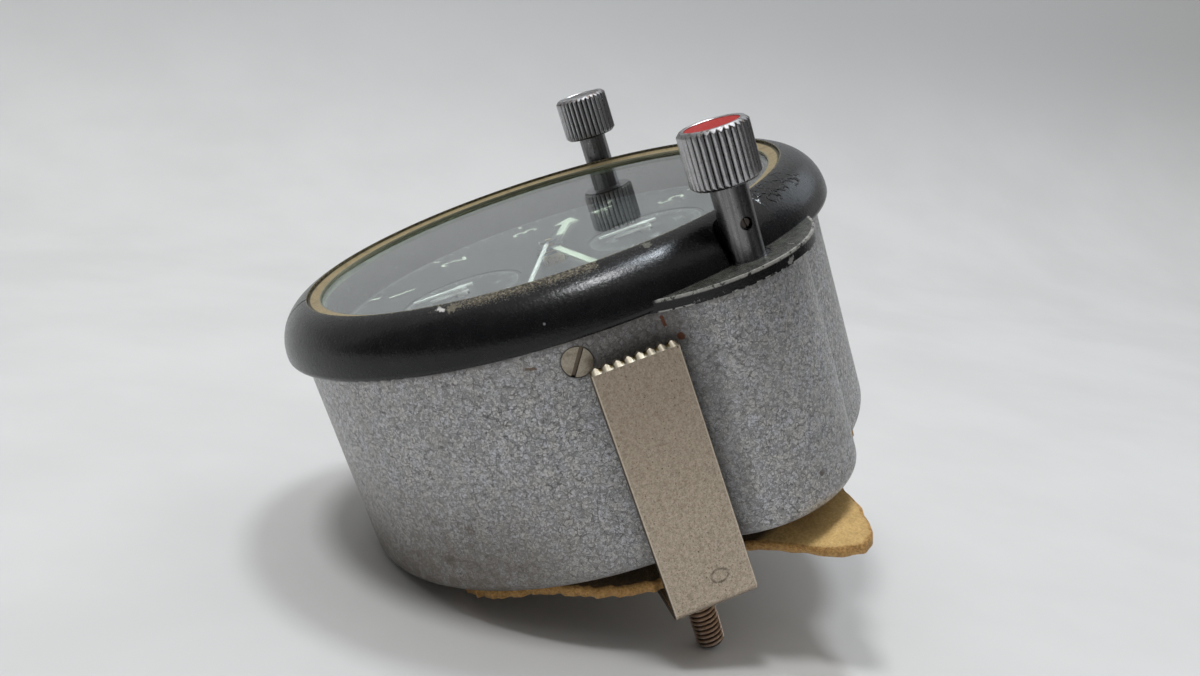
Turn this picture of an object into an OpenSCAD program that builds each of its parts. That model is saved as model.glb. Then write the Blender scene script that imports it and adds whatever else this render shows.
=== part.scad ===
// Panel-mounted aircraft clock with two push-and-turn knobs and two rear clamps.
// The dial faces up: 12 o'clock is +Y, 3 o'clock is +X, and z = 0 is the bezel's rear face,
// which lies on the front of the instrument panel.

/* [Case] */
// Outer radius of the round case
case_r = 40; // [38:0.5:43]
// Depth of the case behind the panel's front
case_depth = 33.7; // [33:0.1:42]
// Wall of the case
case_wall = 1.5; // [1.2:0.1:1.8]
// Thickness of the case's back
case_back = 2.5; // [2:0.1:3]
// Radius of the rounded edge round the back
case_edge = 2.8; // [1:0.1:3.5]
// Radius of each ear beside the case
ear_r = 15; // [14:0.1:16]
// How far an ear's centre lies inside the case's rim
ear_inset = 9; // [8:0.1:9.5]
// Angle of the knobs below the line from 9 to 3
knob_angle = 26; // [24:0.5:28]

/* [Bezel] */
// Overhang of the bezel past the round case
bezel_lip = 2.25; // [1.5:0.05:3]
// Radius of the bezel's round section
bezel_tube = 6.6; // [6:0.1:7.5]
// Radius of the bezel's lower outer corner
bezel_corner = 0.9; // [0.3:0.1:1]
// Radial width of the bezel, seen from the front
bezel_w = 5.35; // [5:0.05:5.6]
// How far the case's rim is let into the bezel's rear
rebate = 0.6; // [0.4:0.1:0.8]
// Overhang of each ear flange past its ear
flange_lip = 1.9; // [0.8:0.1:2.2]
// Thickness of each ear flange
flange_t = 1.6; // [1.4:0.1:2.2]
// Gap between a knob's shank and the pocket cut into the bezel for it
pocket_gap = 0.85; // [0.75:0.05:1.1]
// Width of the slit across the bezel at 12
slit_w = 0.45; // [0.3:0.05:0.6]
// Depth of the bezel's skirt inside the case
skirt_depth = 6.2; // [6:0.1:7.5]
// Wall of the bezel's skirt
skirt_wall = 2.5; // [2.2:0.1:2.8]

/* [Glass and dial] */
// Thickness of the glass
glass_t = 2; // [1.5:0.1:2.2]
// Radial width of the ring that holds the glass
ring_w = 1.9; // [1.6:0.1:2.4]
// Height of the ring that holds the glass
ring_h = 0.6; // [0.5:0.1:1.4]
// Bevel on the ring's inner edge
ring_bevel = 0.3; // [0.2:0.1:0.5]
// How far the ring lies below the bezel's top
ring_sink = 0.5; // [0.2:0.1:0.8]
// Thickness of the glass gasket
gasket_t = 0.8; // [0.6:0.1:1]
// Height of the space for the hands between dial and gasket
hand_room = 4.8; // [4.6:0.1:5.4]
// Thickness of the dial
dial_t = 0.8; // [0.6:0.1:1]
// Distance of the two small dials' centres from the clock's axis
small_dial_reach = 15; // [14:0.1:16]
// Radius of the two small dials
small_dial_r = 9.5; // [8.5:0.1:10.5]
// Depth of the two small dials
small_dial_sink = 0.2; // [0.1:0.05:0.3]

/* [Hands] */
// Gap between the seconds hand's tip and the bezel
second_gap = 3.6; // [2:0.1:6]
// Gap between the minute hand's tip and the bezel
minute_gap = 6.1; // [4:0.1:9]
// Length of the hour hand
hour_len = 19; // [16:0.5:22]
// Length of the small dials' long hands
small_long_len = 7.4; // [6:0.1:7.8]
// Length of the small dials' short hands
small_short_len = 5; // [4:0.1:5.5]
// Hour hand's angle, clockwise from 12
hour_angle = 111; // [0:1:359]
// Minute hand's angle, clockwise from 12
minute_angle = 262; // [0:1:359]
// Seconds hand's angle, clockwise from 12
second_angle = 288; // [0:1:359]
// Thickness of every hand
hand_t = 0.3; // [0.2:0.05:0.35]

/* [Knobs] */
// Radius of a knob's head
knob_r = 4.6; // [4.2:0.1:5]
// Height of a knob's head
knob_h = 7.4; // [6:0.1:8.5]
// Height of the head's underside above the panel seat
knob_z = 11.4; // [11:0.1:13]
// Distance of a knob's axis from its ear's outer edge
knob_inset = 4; // [3.9:0.1:4.5]
// Flutes round a knob's head
flutes = 26; // [20:1:30]
// Radius of a flute
flute_r = 0.42; // [0.3:0.02:0.46]
// Width of the rim round the left knob's coloured disc
disc_rim = 1.1; // [0.9:0.1:1.5]
// Radius of a knob's shank
shank_r = 2.4; // [2.2:0.05:2.5]
// Radius of the stem inside a knob
stem_r = 1.2; // [1:0.05:1.3]
// How far the left knob pulls out
pull = 3; // [2:0.1:3]
// How far a knob pushes in
push = 2.4; // [1.5:0.1:2.5]
// Wall of a stem bush
bush_wall = 0.55; // [0.45:0.05:0.65]

/* [Clamps] */
// Width of a clamp strap
strap_w = 11.6; // [10:0.1:12]
// Thickness of a clamp strap
strap_t = 1.4; // [1.2:0.1:1.6]
// How far a clamp strap is set from its screw towards 6
strap_shift = 1; // [0:0.1:1.4]
// Gap between a clamp strap and the case
strap_gap = 1.6; // [1.4:0.1:2]
// Outer radius of a strap's bend
bend_r = 2.2; // [1.8:0.1:3]
// Distance from the panel seat to a strap's teeth, as shown
panel_gap = 3.5; // [3.2:0.1:6]
// Gap between the case's back and a clamp's foot
foot_gap = 5.4; // [5.2:0.1:6]
// Thickness of a clamp's foot
foot_t = 1.4; // [1.2:0.1:1.8]
// How far a clamp's foot reaches past its screw
foot_end = 3.4; // [2.5:0.1:4]
// Teeth on a strap's end
teeth = 8; // [6:1:10]
// Height of the teeth on a strap's end
tooth_h = 0.9; // [0.6:0.1:1.2]
// Radius of a clamp screw
clamp_screw_r = 2; // [1.8:0.1:2.2]
// How far a clamp screw stands out behind its foot
clamp_screw_out = 9.1; // [8:0.1:12]
// How far a clamp screw lies inside the case's rim
clamp_inset = 5; // [4.8:0.1:6]

/* [Rear pad] */
// Thickness of the leather pad
pad_t = 1.5; // [1.2:0.1:1.8]
// How far the pad's plain edge lies inside the case's rim
pad_inset = 2.5; // [1:0.1:3]
// How far the pad's straight edge at 12 lies inside the case's rim
pad_cut = 10; // [6:0.5:14]
// How far the pad's flaps reach past its plain edge
pad_flap = 12.5; // [6:0.5:14]
// How far the pad hangs towards the clamps
pad_droop = 2.4; // [1.5:0.1:2.5]
// How much further the pad's flaps hang
flap_droop = 2.4; // [1:0.1:3]

/* [Movement] */
// Thickness of the two movement plates
plate_t = 1.5; // [1.2:0.1:1.8]
// Gap between the plates and the case's wall
plate_gap = 0.34; // [0.3:0.02:0.5]
// Train modules that fit into the plates' radius
plate_modules = 106; // [104:1:110]
// Thickness of the train's wheels
wheel_t = 0.6; // [0.5:0.05:0.7]
// Radius of the train's arbors
arbor_r = 0.6; // [0.5:0.05:0.7]
// Radius of the train's pivots
pivot_r = 0.35; // [0.3:0.05:0.4]
// Radius of the movement's pillars
pillar_r = 1.8; // [1.5:0.1:2]

/* [Fits] */
// Running clearance round turning and sliding pieces
running = 0.06; // [0.04:0.01:0.08]
// Clearance of pieces fitted into each other
seat = 0.05; // [0.03:0.01:0.08]
// Play of turning pieces along their axis
end_play = 0.2; // [0.15:0.01:0.25]
// Free gap between pieces that pass each other
free_gap = 0.4; // [0.3:0.05:0.5]

/* [Hidden] */
$fn = 64;
// How far a cut reaches past the face it opens, and how far joined shapes reach into each other
eps = 0.5;
lap = 0.1;

// Places of the main pieces in plan; side is -1 for the left and +1 for the right
LEFT = -1;
RIGHT = 1;
SIDES = [LEFT, RIGHT];
ear_reach = case_r - ear_inset;
knob_reach = ear_reach + ear_r - knob_inset;
clamp_reach = case_r - clamp_inset;
post_across = 15.2;
post_drop = 8.6;
function turned(reach, angle) = reach * [cos(angle), sin(angle)];
function ear_at(side) = [side * ear_reach * cos(knob_angle), -ear_reach * sin(knob_angle)];
function knob_at(side) = [side * knob_reach * cos(knob_angle), -knob_reach * sin(knob_angle)];
function post_at(side) = [side * (knob_at(RIGHT)[0] - post_across), knob_at(RIGHT)[1] - post_drop];
function clamp_at(side) = [side * clamp_reach, 0];
EARS = [for (s = SIDES) ear_at(s)];
KNOBS = [for (s = SIDES) knob_at(s)];
POSTS = [for (s = SIDES) post_at(s)];
CLAMPS = [for (s = SIDES) clamp_at(s)];

// Heights, from the panel seat
bezel_top = bezel_corner + bezel_tube;
glass_seat_z = bezel_top - ring_sink - ring_h - glass_t - gasket_t;
glass_z = glass_seat_z + gasket_t;
dial_top = glass_seat_z - hand_room;
dial_bottom = dial_top - dial_t;
front_top = -skirt_depth;
front_bottom = front_top - plate_t;
screw_room = 5;
boss_roof = 1.3;
boss_gap = 1;
boss_h = screw_room + boss_roof;
rear_bottom = -case_depth + boss_h + boss_gap;
rear_top = rear_bottom + plate_t;
function level(share) = front_bottom + share * (rear_top - front_bottom);

// Radii of the bezel, the glass and their seats
bezel_r = case_r + bezel_lip;
case_in_r = case_r - case_wall;
ear_in_r = ear_r - case_wall;
skirt_r = case_in_r - seat;
bore_r = bezel_r - bezel_w;
glass_r = bore_r - seat;
sight_r = bore_r - ring_w;
ledge_lip = 0.4;
slit_z = 2;
ledge_r = sight_r - ledge_lip;
dial_recess_r = skirt_r - skirt_wall;
dial_r = dial_recess_r - seat;
bush_r = shank_r + running + bush_wall;

// Case screws
case_screw_angles = [9, 171, 270];
case_screw_z = -3.2;
case_screw_head_r = 2;
case_screw_head_t = 0.8;
case_screw_r = 1.25;

// Clamps: a strap stays clear of the case and of the ear beside it
ear_side = ear_at(RIGHT)[0] + sqrt(ear_r ^ 2 - (ear_at(RIGHT)[1] + strap_w / 2 + strap_shift) ^ 2);
strap_in = max(case_r + strap_gap, ear_side + free_gap);
strap_x = strap_in + strap_t;
foot_top = -case_depth - foot_gap;
foot_bottom = foot_top - foot_t;
collar_w = 1;
collar_t = 1.2;
boss_wall = 1.25;
collar_r = clamp_screw_r + collar_w;
boss_bore_r = collar_r + 3 * seat;
boss_r = boss_bore_r + boss_wall;

// Teeth counts of the train, the winding and the motion work
stem_teeth = 12;
centre_teeth = 80;
third_teeth = 75;
fourth_teeth = 75;
pinion_teeth = 10;
barrel_teeth = 72;
barrel_pinion = 12;
idler_teeth = 50;
ratchet_teeth = 46;
cannon_teeth = 12;
minute_teeth = 36;
hour_teeth = 40;
escape_teeth = 20;

// The movement in plan is laid out in train modules, so that it fills its plates
plate_r = case_in_r - plate_gap;
train_module = plate_r / plate_modules;
barrel_module = 1.25 * train_module;
escape_r = 12.8 * train_module;
pallet_drop = 17.5 * train_module;
balance_drop = 22.25 * train_module;
balance_r = 19.5 * train_module;
motion_reach = 25 * train_module;

// Centres of the movement's arbors
function spacing(n1, n2, m) = m * (n1 + n2) / 2;
third_reach = spacing(centre_teeth, pinion_teeth, train_module);
fourth_module = 2 * third_reach / (third_teeth + pinion_teeth);
third_dir = 60;
third_at = turned(third_reach, third_dir);
barrel_dir = 190;
barrel_at = turned(spacing(barrel_teeth, barrel_pinion, barrel_module), barrel_dir);
escape_dir = -50;
escape_at = turned(spacing(fourth_teeth, pinion_teeth, train_module), escape_dir);
pallet_at = escape_at - [0, pallet_drop];
balance_at = pallet_at - [0, balance_drop];
cannon_module = 2 * motion_reach / (cannon_teeth + minute_teeth);
motion_module = 2 * motion_reach / (hour_teeth + pinion_teeth);
motion_at = [motion_reach, 0];

// The idler sits a little off the line from stem to barrel, in mesh with the stem and the ratchet wheel
winding_slack = 1.036;
stem_to_barrel = barrel_at - knob_at(LEFT);
winding_span = norm(stem_to_barrel);
winding_dir = atan2(stem_to_barrel[1], stem_to_barrel[0]);
wind_module = 2 * winding_slack * winding_span / (stem_teeth + 2 * idler_teeth + ratchet_teeth);
idler_in = spacing(stem_teeth, idler_teeth, wind_module);
idler_out = spacing(idler_teeth, ratchet_teeth, wind_module);
idler_cos = (idler_in ^ 2 + winding_span ^ 2 - idler_out ^ 2) / (2 * idler_in * winding_span);
idler_dir = winding_dir - acos(idler_cos);
idler_at = knob_at(LEFT) + turned(idler_in, idler_dir);
idler_to_ratchet = barrel_at - idler_at;
ratchet_dir = atan2(idler_to_ratchet[1], idler_to_ratchet[0]);

// Pillars, plate screws and dial feet
pillar_inset = 1.9;
pillar_screw_r = 0.8;
plate_screw_r = 0.7;
plate_screw_top = -2.6;
dial_foot_r = 0.9;
dial_foot_inset = 5.9;
pillars_at = [for (a = [45, 135, 262, 345]) turned(dial_recess_r - pillar_inset, a)];
plate_screws_at = [for (a = [62, 118, 285]) turned(skirt_r - skirt_wall / 2, a)];
dial_feet_at = [for (a = [30, 150, 262]) turned(dial_r - dial_foot_inset, a)];

// Tooth shape: stub involute teeth with room between their flanks
pressure = 25;
addendum = 0.8;
dedendum = 1.1;
backlash = 0.3;
function involute(a) = tan(a) - a * PI / 180;
function tooth_half(n, r) =
    let (base = n / 2 * cos(pressure), lean = acos(min(1, base / max(r, base))))
    (90 - backlash * 180 / PI) / n + (involute(pressure) - involute(lean)) * 180 / PI;
function flank_radii(n) =
    let (pitch = n / 2, root = pitch - dedendum, base = pitch * cos(pressure), tip = pitch + addendum)
    base > root ? [root, base, pitch, tip] : [root, pitch, tip];
function gear_points(n, m) =
    let (radii = flank_radii(n), last = len(radii) - 1)
    [for (k = [0:n - 1], i = [0:2 * last + 1])
        let (r = radii[i > last ? 2 * last + 1 - i : i], side = i > last ? 1 : -1)
        turned(r * m, 360 * k / n + side * tooth_half(n, r))];

// Where the driven gear's first tooth points so that it meshes with the driver, in direction dir
function meshed(driver_phase, n1, n2, dir) =
    dir + 180 - (driver_phase - dir) * n1 / n2 + 180 / n2;
third_phase = meshed(0, centre_teeth, pinion_teeth, third_dir);
fourth_phase = meshed(third_phase, third_teeth, pinion_teeth, third_dir + 180);
escape_phase = meshed(fourth_phase, fourth_teeth, pinion_teeth, escape_dir);
barrel_phase = meshed(0, barrel_pinion, barrel_teeth, barrel_dir);
motion_phase = meshed(0, cannon_teeth, minute_teeth, 0);
hour_phase = meshed(motion_phase, pinion_teeth, hour_teeth, 180);
idler_phase = meshed(0, stem_teeth, idler_teeth, idler_dir);
ratchet_phase = meshed(idler_phase, idler_teeth, ratchet_teeth, ratchet_dir);

module gear(n, m, z, t, phase = 0) {
    translate([0, 0, z - t / 2]) rotate(phase) linear_extrude(t) polygon(gear_points(n, m));
}
module rod(r, z0, z1) {
    translate([0, 0, z0]) cylinder(r = r, h = z1 - z0);
}
// A hole through everything between z0 and z1
module bore(r, z0, z1) {
    rod(r, z0 - eps, z1 + eps);
}
module tube(r_in, r_out, z0, z1) {
    difference() {
        rod(r_out, z0, z1);
        bore(r_in, z0, z1);
    }
}
module at(points) {
    for (p = points) translate([p[0], p[1], 0]) children();
}

// A wheel with a hub, a rim and four spokes
spoke_hub = 2.4;
spoke_rim = 1.7;
spoke_w = 1.6;
module spoked(n, m, z, t, phase = 0) {
    rim = n * m / 2 - spoke_rim;
    difference() {
        gear(n, m, z, t, phase);
        for (k = [0:3])
            translate([0, 0, z - t / 2 - eps]) linear_extrude(t + 2 * eps)
                intersection() {
                    difference() {
                        circle(rim);
                        circle(spoke_hub);
                    }
                    rotate(90 * k) translate([spoke_w / 2, spoke_w / 2]) square(rim);
                }
    }
}

// Case and front

module rounded_disc(r) {
    rotate_extrude() {
        translate([0, case_edge - case_depth]) square([r, case_depth - case_edge + rebate]);
        translate([0, -case_depth]) square([r - case_edge, case_depth]);
        translate([r - case_edge, case_edge - case_depth]) circle(case_edge);
    }
}

module case_cup() color("darkgray") difference() {
    union() {
        difference() {
            union() {
                rounded_disc(case_r);
                at(EARS) rounded_disc(ear_r);
            }
            rod(case_in_r, case_back - case_depth, rebate + eps);
            at(EARS) rod(ear_in_r, case_back - case_depth, rebate + eps);
        }
        at(CLAMPS) rod(boss_r, case_back - case_depth - eps, boss_h - case_depth);
    }
    at(CLAMPS) rod(boss_bore_r, -case_depth - eps, screw_room - case_depth);
    at(KNOBS) rod(bush_r + 2 * seat, -skirt_depth - free_gap, rebate + eps);
    for (a = case_screw_angles) case_screw_space(a, seat);
}

// Body of a case screw, or with room round it the hole that takes it
module case_screw_space(angle, room) {
    head_z = case_r - case_screw_head_t;
    end_z = dial_recess_r + free_gap;
    rotate(angle) translate([0, 0, case_screw_z]) rotate([0, 90, 0]) {
        rod(case_screw_head_r + room, head_z, case_r + (room > 0 ? eps : 0));
        rod(case_screw_r + room, end_z, head_z + lap);
    }
}

module case_screws() color("tan") for (a = case_screw_angles) case_screw_space(a, 0);

module bezel_section() {
    difference() {
        union() {
            intersection() {
                translate([bezel_r - bezel_tube, bezel_corner]) circle(bezel_tube);
                translate([0, bezel_corner]) square(bezel_r);
            }
            square([bezel_r - bezel_corner, bezel_corner]);
            translate([bezel_r - bezel_corner, bezel_corner]) circle(bezel_corner);
            translate([0, -skirt_depth]) square([skirt_r, skirt_depth + eps]);
        }
        translate([0, glass_seat_z]) square([bore_r, bezel_top]);
        translate([0, dial_top - eps]) square([ledge_r, glass_seat_z + 2 * eps - dial_top]);
        translate([0, -skirt_depth - eps]) square([dial_recess_r, dial_top + skirt_depth + eps]);
    }
}

// Plan of the case's rim between the skirt and the outside, with room for it to fit in
module rim_plan() {
    difference() {
        union() {
            circle(case_r + seat);
            for (p = EARS) translate(p) circle(ear_r + seat);
        }
        circle(skirt_r);
    }
}

module bezel() color("#202226") difference() {
    union() {
        rotate_extrude() bezel_section();
        difference() {
            at(EARS) rod(ear_r + flange_lip, 0, flange_t);
            bore(bezel_r - bezel_w / 2, 0, flange_t);
        }
    }
    at(KNOBS) {
        rod(shank_r + pocket_gap, flange_t, bezel_top + eps);
        bore(bush_r + seat, -skirt_depth, flange_t);
    }
    translate([0, 0, -eps]) linear_extrude(rebate + eps) rim_plan();
    for (a = case_screw_angles) case_screw_space(a, seat);
    at(plate_screws_at) rod(plate_screw_r + seat, -skirt_depth - eps, plate_screw_top + free_gap);
    translate([-slit_w / 2, bore_r - lap, slit_z]) cube([slit_w, bezel_w + eps, bezel_top]);
}

module glass_ring() color("#8f8148") rotate_extrude() {
    z = glass_z + glass_t;
    polygon([[sight_r, z], [glass_r, z], [glass_r, z + ring_h], [glass_r - ring_bevel, z + ring_h],
        [sight_r, z + ring_bevel]]);
}
module glass() color("#9fb4b0") rod(glass_r, glass_z, glass_z + glass_t);
module glass_gasket() color("#2c3a30") tube(sight_r - lap, glass_r, glass_seat_z, glass_z);

// Pipes and arbors that carry the hands, one inside the other
second_arbor_r = 0.5;
centre_wall = 0.3;
pipe_wall = 0.35;
centre_tube_r = second_arbor_r + running + centre_wall;
cannon_r = centre_tube_r + seat + pipe_wall;
hour_tube_r = cannon_r + running + pipe_wall;
long_arbor_r = 0.4;
short_pipe_r = long_arbor_r + running + pipe_wall;
dial_hole_gap = 0.7;

module dial() color("#151617") {
    difference() {
        rod(dial_r, dial_bottom, dial_top);
        for (y = SIDES) translate([0, y * small_dial_reach, 0]) {
            rod(small_dial_r, dial_top - small_dial_sink, dial_top + eps);
            bore(short_pipe_r + free_gap, dial_bottom, dial_top);
        }
        bore(hour_tube_r + dial_hole_gap, dial_bottom, dial_top);
    }
    at(dial_feet_at) rod(dial_foot_r, front_bottom + end_play, dial_bottom);
}

// Hands: each is [width, width at the tip, length of the tail, radius of the hub, width of the head]
hour_form = [1.3, 0.5, 0, hour_tube_r + 0.7, 4.2];
minute_form = [1.1, 0.5, 4, cannon_r + 0.8, 1.1];
second_form = [0.5, 0.3, 7, 1.3, 0.5];
long_form = [0.8, 0.3, 2, 0.9, 0.8];
short_form = [1.1, 0.4, 1, 1.1, 1.1];
shoulder = 0.8;
flare = 0.5;
hour_rise = 1.55;
hand_step = 0.75;
short_rise = 0.15;
long_rise = 0.75;
hour_z = dial_top + hour_rise;
minute_z = hour_z + hand_step;
second_z = minute_z + hand_step;
short_z = dial_top + short_rise;
long_z = dial_top + long_rise;
second_len = ledge_r - second_gap;
minute_len = ledge_r - minute_gap;

function hand_edge(length, form) =
    let (half = form[0] / 2, head = form[4] / 2, step = length * shoulder)
    [[half, -form[2]], [half, step], if (head > half) [head, step + flare], [form[1] / 2, length]];
module hand(length, form, z, hole_r) {
    edge = hand_edge(length, form);
    difference() {
        union() {
            translate([0, 0, z]) linear_extrude(hand_t)
                polygon(concat(edge, [for (i = [len(edge) - 1:-1:0]) [-edge[i][0], edge[i][1]]]));
            rod(form[3], z, z + hand_t);
        }
        if (hole_r > 0) bore(hole_r, z, z + hand_t);
    }
}

module hour_hand() color("#d9dccb") rotate(-hour_angle)
    hand(hour_len, hour_form, hour_z, hour_tube_r + seat);
module minute_hand() color("#d9dccb") rotate(-minute_angle)
    hand(minute_len, minute_form, minute_z, cannon_r + seat);
module seconds_hand() color("#e4e2d6") rotate(-second_angle)
    hand(second_len, second_form, second_z, second_arbor_r + seat);

// A small dial's long hand on its arbor, and its short hand on a pipe round that arbor
module long_small_hand(y) translate([0, y, 0]) {
    hand(small_long_len, long_form, long_z, 0);
    rod(long_arbor_r, front_bottom + end_play, long_z);
}
module short_small_hand(y) translate([0, y, 0]) {
    hand(small_short_len, short_form, short_z, long_arbor_r + running);
    tube(long_arbor_r + running, short_pipe_r, front_top + end_play, short_z);
}
module flight_minute_hand() color("#d9dccb") long_small_hand(small_dial_reach);
module flight_hour_hand() color("#d9dccb") short_small_hand(small_dial_reach);
module stopwatch_second_hand() color("#d9dccb") long_small_hand(-small_dial_reach);
module stopwatch_minute_hand() color("#d9dccb") short_small_hand(-small_dial_reach);

// Knobs, stems and what they push

knob_bevel = 0.5;
knob_top = knob_z + knob_h;
flute_out = 0.1;
shank_hold = 0.5;
shank_bottom = flange_t - lap - shank_hold - pull;
disc_r = knob_r - disc_rim;
disc_depth = 0.5;
disc_sink = 0.15;
grub_r = 0.8;
grub_z = 6.2;
grub_angle = 188;
grub_sink = 0.15;

module knob() {
    difference() {
        union() {
            rotate_extrude()
                polygon([[0, knob_z], [knob_r - knob_bevel, knob_z], [knob_r, knob_z + knob_bevel],
                    [knob_r, knob_top - knob_bevel], [knob_r - knob_bevel, knob_top], [0, knob_top]]);
            rod(shank_r, shank_bottom, knob_z + lap);
        }
        for (k = [0:flutes - 1]) rotate(360 * k / flutes) translate([knob_r + flute_out, 0, 0])
            bore(flute_r, knob_z, knob_top);
        rod(disc_r + seat, knob_top - disc_depth, knob_top + eps);
        rod(stem_r + seat, shank_bottom - eps, knob_z);
        translate([0, 0, grub_z]) rotate([0, 90, grub_angle]) rod(grub_r + seat, 0, shank_r + eps);
    }
}
module grub_screw() translate([0, 0, grub_z]) rotate([0, 90, grub_angle])
    rod(grub_r, stem_r + seat, shank_r - grub_sink);

// The stem: pinion for winding, and two collars that hold the push arm between them
arm_t = 1.6;
arm_z = level(0.295);
pinion_z = level(0.66);
pinion_h = 3;
stem_collar_r = 2;
stem_collar_t = 0.5;
module stem(toothed) {
    collar_z = arm_t / 2 + end_play;
    rod(stem_r, rear_top - pull - end_play, knob_z - lap);
    rod(stem_collar_r, arm_z + collar_z, arm_z + collar_z + stem_collar_t);
    rod(stem_collar_r, arm_z - collar_z - stem_collar_t, arm_z - collar_z);
    if (toothed) gear(stem_teeth, wind_module, pinion_z, pinion_h);
}

// The arm: an eye round the stem, an eye round the guide post and a bar between them
post_r = 1.2;
post_flange_r = 2.4;
post_flange_t = 0.3;
stem_eye_r = 2.05;
post_eye_r = 2.6;
arm_w = 2.8;
module push_arm(side) {
    a = knob_at(side);
    b = post_at(side);
    z0 = arm_z - arm_t / 2;
    z1 = arm_z + arm_t / 2;
    difference() {
        union() {
            at([a]) rod(stem_eye_r, z0, z1);
            at([b]) rod(post_eye_r, z0, z1);
            translate([a[0], a[1], z0]) rotate(atan2(b[1] - a[1], b[0] - a[0]))
                translate([0, -arm_w / 2, 0]) cube([norm(b - a), arm_w, arm_t]);
        }
        at([a]) bore(stem_r + running, z0, z1);
        at([b]) bore(post_r + running, z0, z1);
    }
}
module guide_post(side) at([post_at(side)]) {
    rod(post_r, rear_bottom, front_top);
    rod(post_flange_r, front_bottom - post_flange_t, front_bottom);
}

// Coil round a guide post, from the rear plate up to the push arm
coil_turns = 8;
coil_sides = 6;
coil_rings = 8;
coil_wire = 0.25;
coil_r = 1.9;
module return_spring(side) {
    z0 = rear_top + coil_wire + seat;
    z1 = arm_z - arm_t / 2 - coil_wire - seat;
    steps = coil_turns * coil_rings;
    points = [for (i = [0:steps], j = [0:coil_sides - 1])
        let (a = 360 * i / coil_rings, b = 360 * j / coil_sides, r = coil_r + coil_wire * cos(b))
        [r * cos(a), r * sin(a), z0 + (z1 - z0) * i / steps + coil_wire * sin(b)]];
    sides = [for (i = [0:steps - 1], j = [0:coil_sides - 1])
        let (k = (j + 1) % coil_sides, p = i * coil_sides, q = p + coil_sides)
        each [[p + j, q + j, q + k], [p + j, q + k, p + k]]];
    ends = [for (j = [1:coil_sides - 2])
        each [[0, j, j + 1], [steps * coil_sides, steps * coil_sides + j + 1, steps * coil_sides + j]]];
    at([post_at(side)]) polyhedron(points, concat(sides, ends));
}

module stem_bush() tube(shank_r + running, bush_r, end_play - skirt_depth, flange_t - lap);

module left_knob() color("#aab0b4") at([knob_at(LEFT)]) knob();
module right_knob() color("#aab0b4") at([knob_at(RIGHT)]) knob();
module left_knob_disc() color("#c8322b") at([knob_at(LEFT)])
    rod(disc_r, knob_top - disc_depth, knob_top - disc_sink);
module left_grub_screw() color("#3b3a38") at([knob_at(LEFT)]) grub_screw();
module right_grub_screw() color("#3b3a38") at([knob_at(RIGHT)]) grub_screw();
module left_stem() color("#8d8f92") at([knob_at(LEFT)]) stem(true);
module right_stem() color("#8d8f92") at([knob_at(RIGHT)]) stem(false);
module left_push_arm() color("#b39a55") push_arm(LEFT);
module right_push_arm() color("#b39a55") push_arm(RIGHT);
module left_guide_post() color("#8d8f92") guide_post(LEFT);
module right_guide_post() color("#8d8f92") guide_post(RIGHT);
module left_return_spring() color("#6e7276") return_spring(LEFT);
module right_return_spring() color("#6e7276") return_spring(RIGHT);
module left_stem_bush() color("#77766f") at([knob_at(LEFT)]) stem_bush();
module right_stem_bush() color("#77766f") at([knob_at(RIGHT)]) stem_bush();

// Clamps

screw_top = screw_room - case_depth - end_play;
screw_tip = foot_bottom - clamp_screw_out;
screw_bevel = 0.5;
screw_slot_w = 0.8;
screw_slot_d = 1;

// Side view of a clamp: strap, bend and foot
module clamp_section() {
    bend_x = strap_x - bend_r;
    bend_z = foot_bottom + bend_r;
    end_x = clamp_reach - clamp_screw_r - foot_end;
    translate([strap_in, bend_z]) square([strap_t, -panel_gap - bend_z]);
    translate([end_x, foot_bottom]) square([bend_x - end_x, foot_t]);
    intersection() {
        difference() {
            translate([bend_x, bend_z]) circle(bend_r);
            translate([bend_x, bend_z]) circle(bend_r - strap_t);
        }
        translate([bend_x, foot_bottom]) square(bend_r);
    }
}
module clamp(side) mirror([side == LEFT ? 1 : 0, 0, 0]) {
    pitch = strap_w / teeth;
    difference() {
        translate([0, strap_w / 2 - strap_shift, 0]) rotate([90, 0, 0])
            linear_extrude(strap_w) clamp_section();
        for (k = [0:teeth]) translate([strap_in - eps, (k - teeth / 2) * pitch - strap_shift, -panel_gap])
            rotate([90, 0, 90]) linear_extrude(strap_t + 2 * eps)
                polygon([[-pitch / 2, eps], [-pitch / 2, 0], [0, -tooth_h], [pitch / 2, 0],
                    [pitch / 2, eps]]);
        at([clamp_at(RIGHT)]) bore(clamp_screw_r + running, foot_bottom, foot_top);
    }
}
module clamp_screw() difference() {
    union() {
        rod(collar_r, screw_top - collar_t, screw_top);
        rod(clamp_screw_r, screw_tip + screw_bevel, screw_top);
        translate([0, 0, screw_tip])
            cylinder(r1 = clamp_screw_r - screw_bevel, r2 = clamp_screw_r, h = screw_bevel);
    }
    translate([-clamp_screw_r, -screw_slot_w / 2, screw_tip - eps])
        cube([2 * clamp_screw_r, screw_slot_w, screw_slot_d + eps]);
}
module screw_bush() tube(clamp_screw_r + running, boss_bore_r - seat, -case_depth,
    screw_top - collar_t - end_play);

module left_clamp() color("#9c9082") clamp(LEFT);
module right_clamp() color("#9c9082") clamp(RIGHT);
module left_clamp_screw() color("#7a6a58") at([clamp_at(LEFT)]) clamp_screw();
module right_clamp_screw() color("#7a6a58") at([clamp_at(RIGHT)]) clamp_screw();
module left_screw_bush() color("#77766f") at([clamp_at(LEFT)]) screw_bush();
module right_screw_bush() color("#77766f") at([clamp_at(RIGHT)]) screw_bush();

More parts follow.
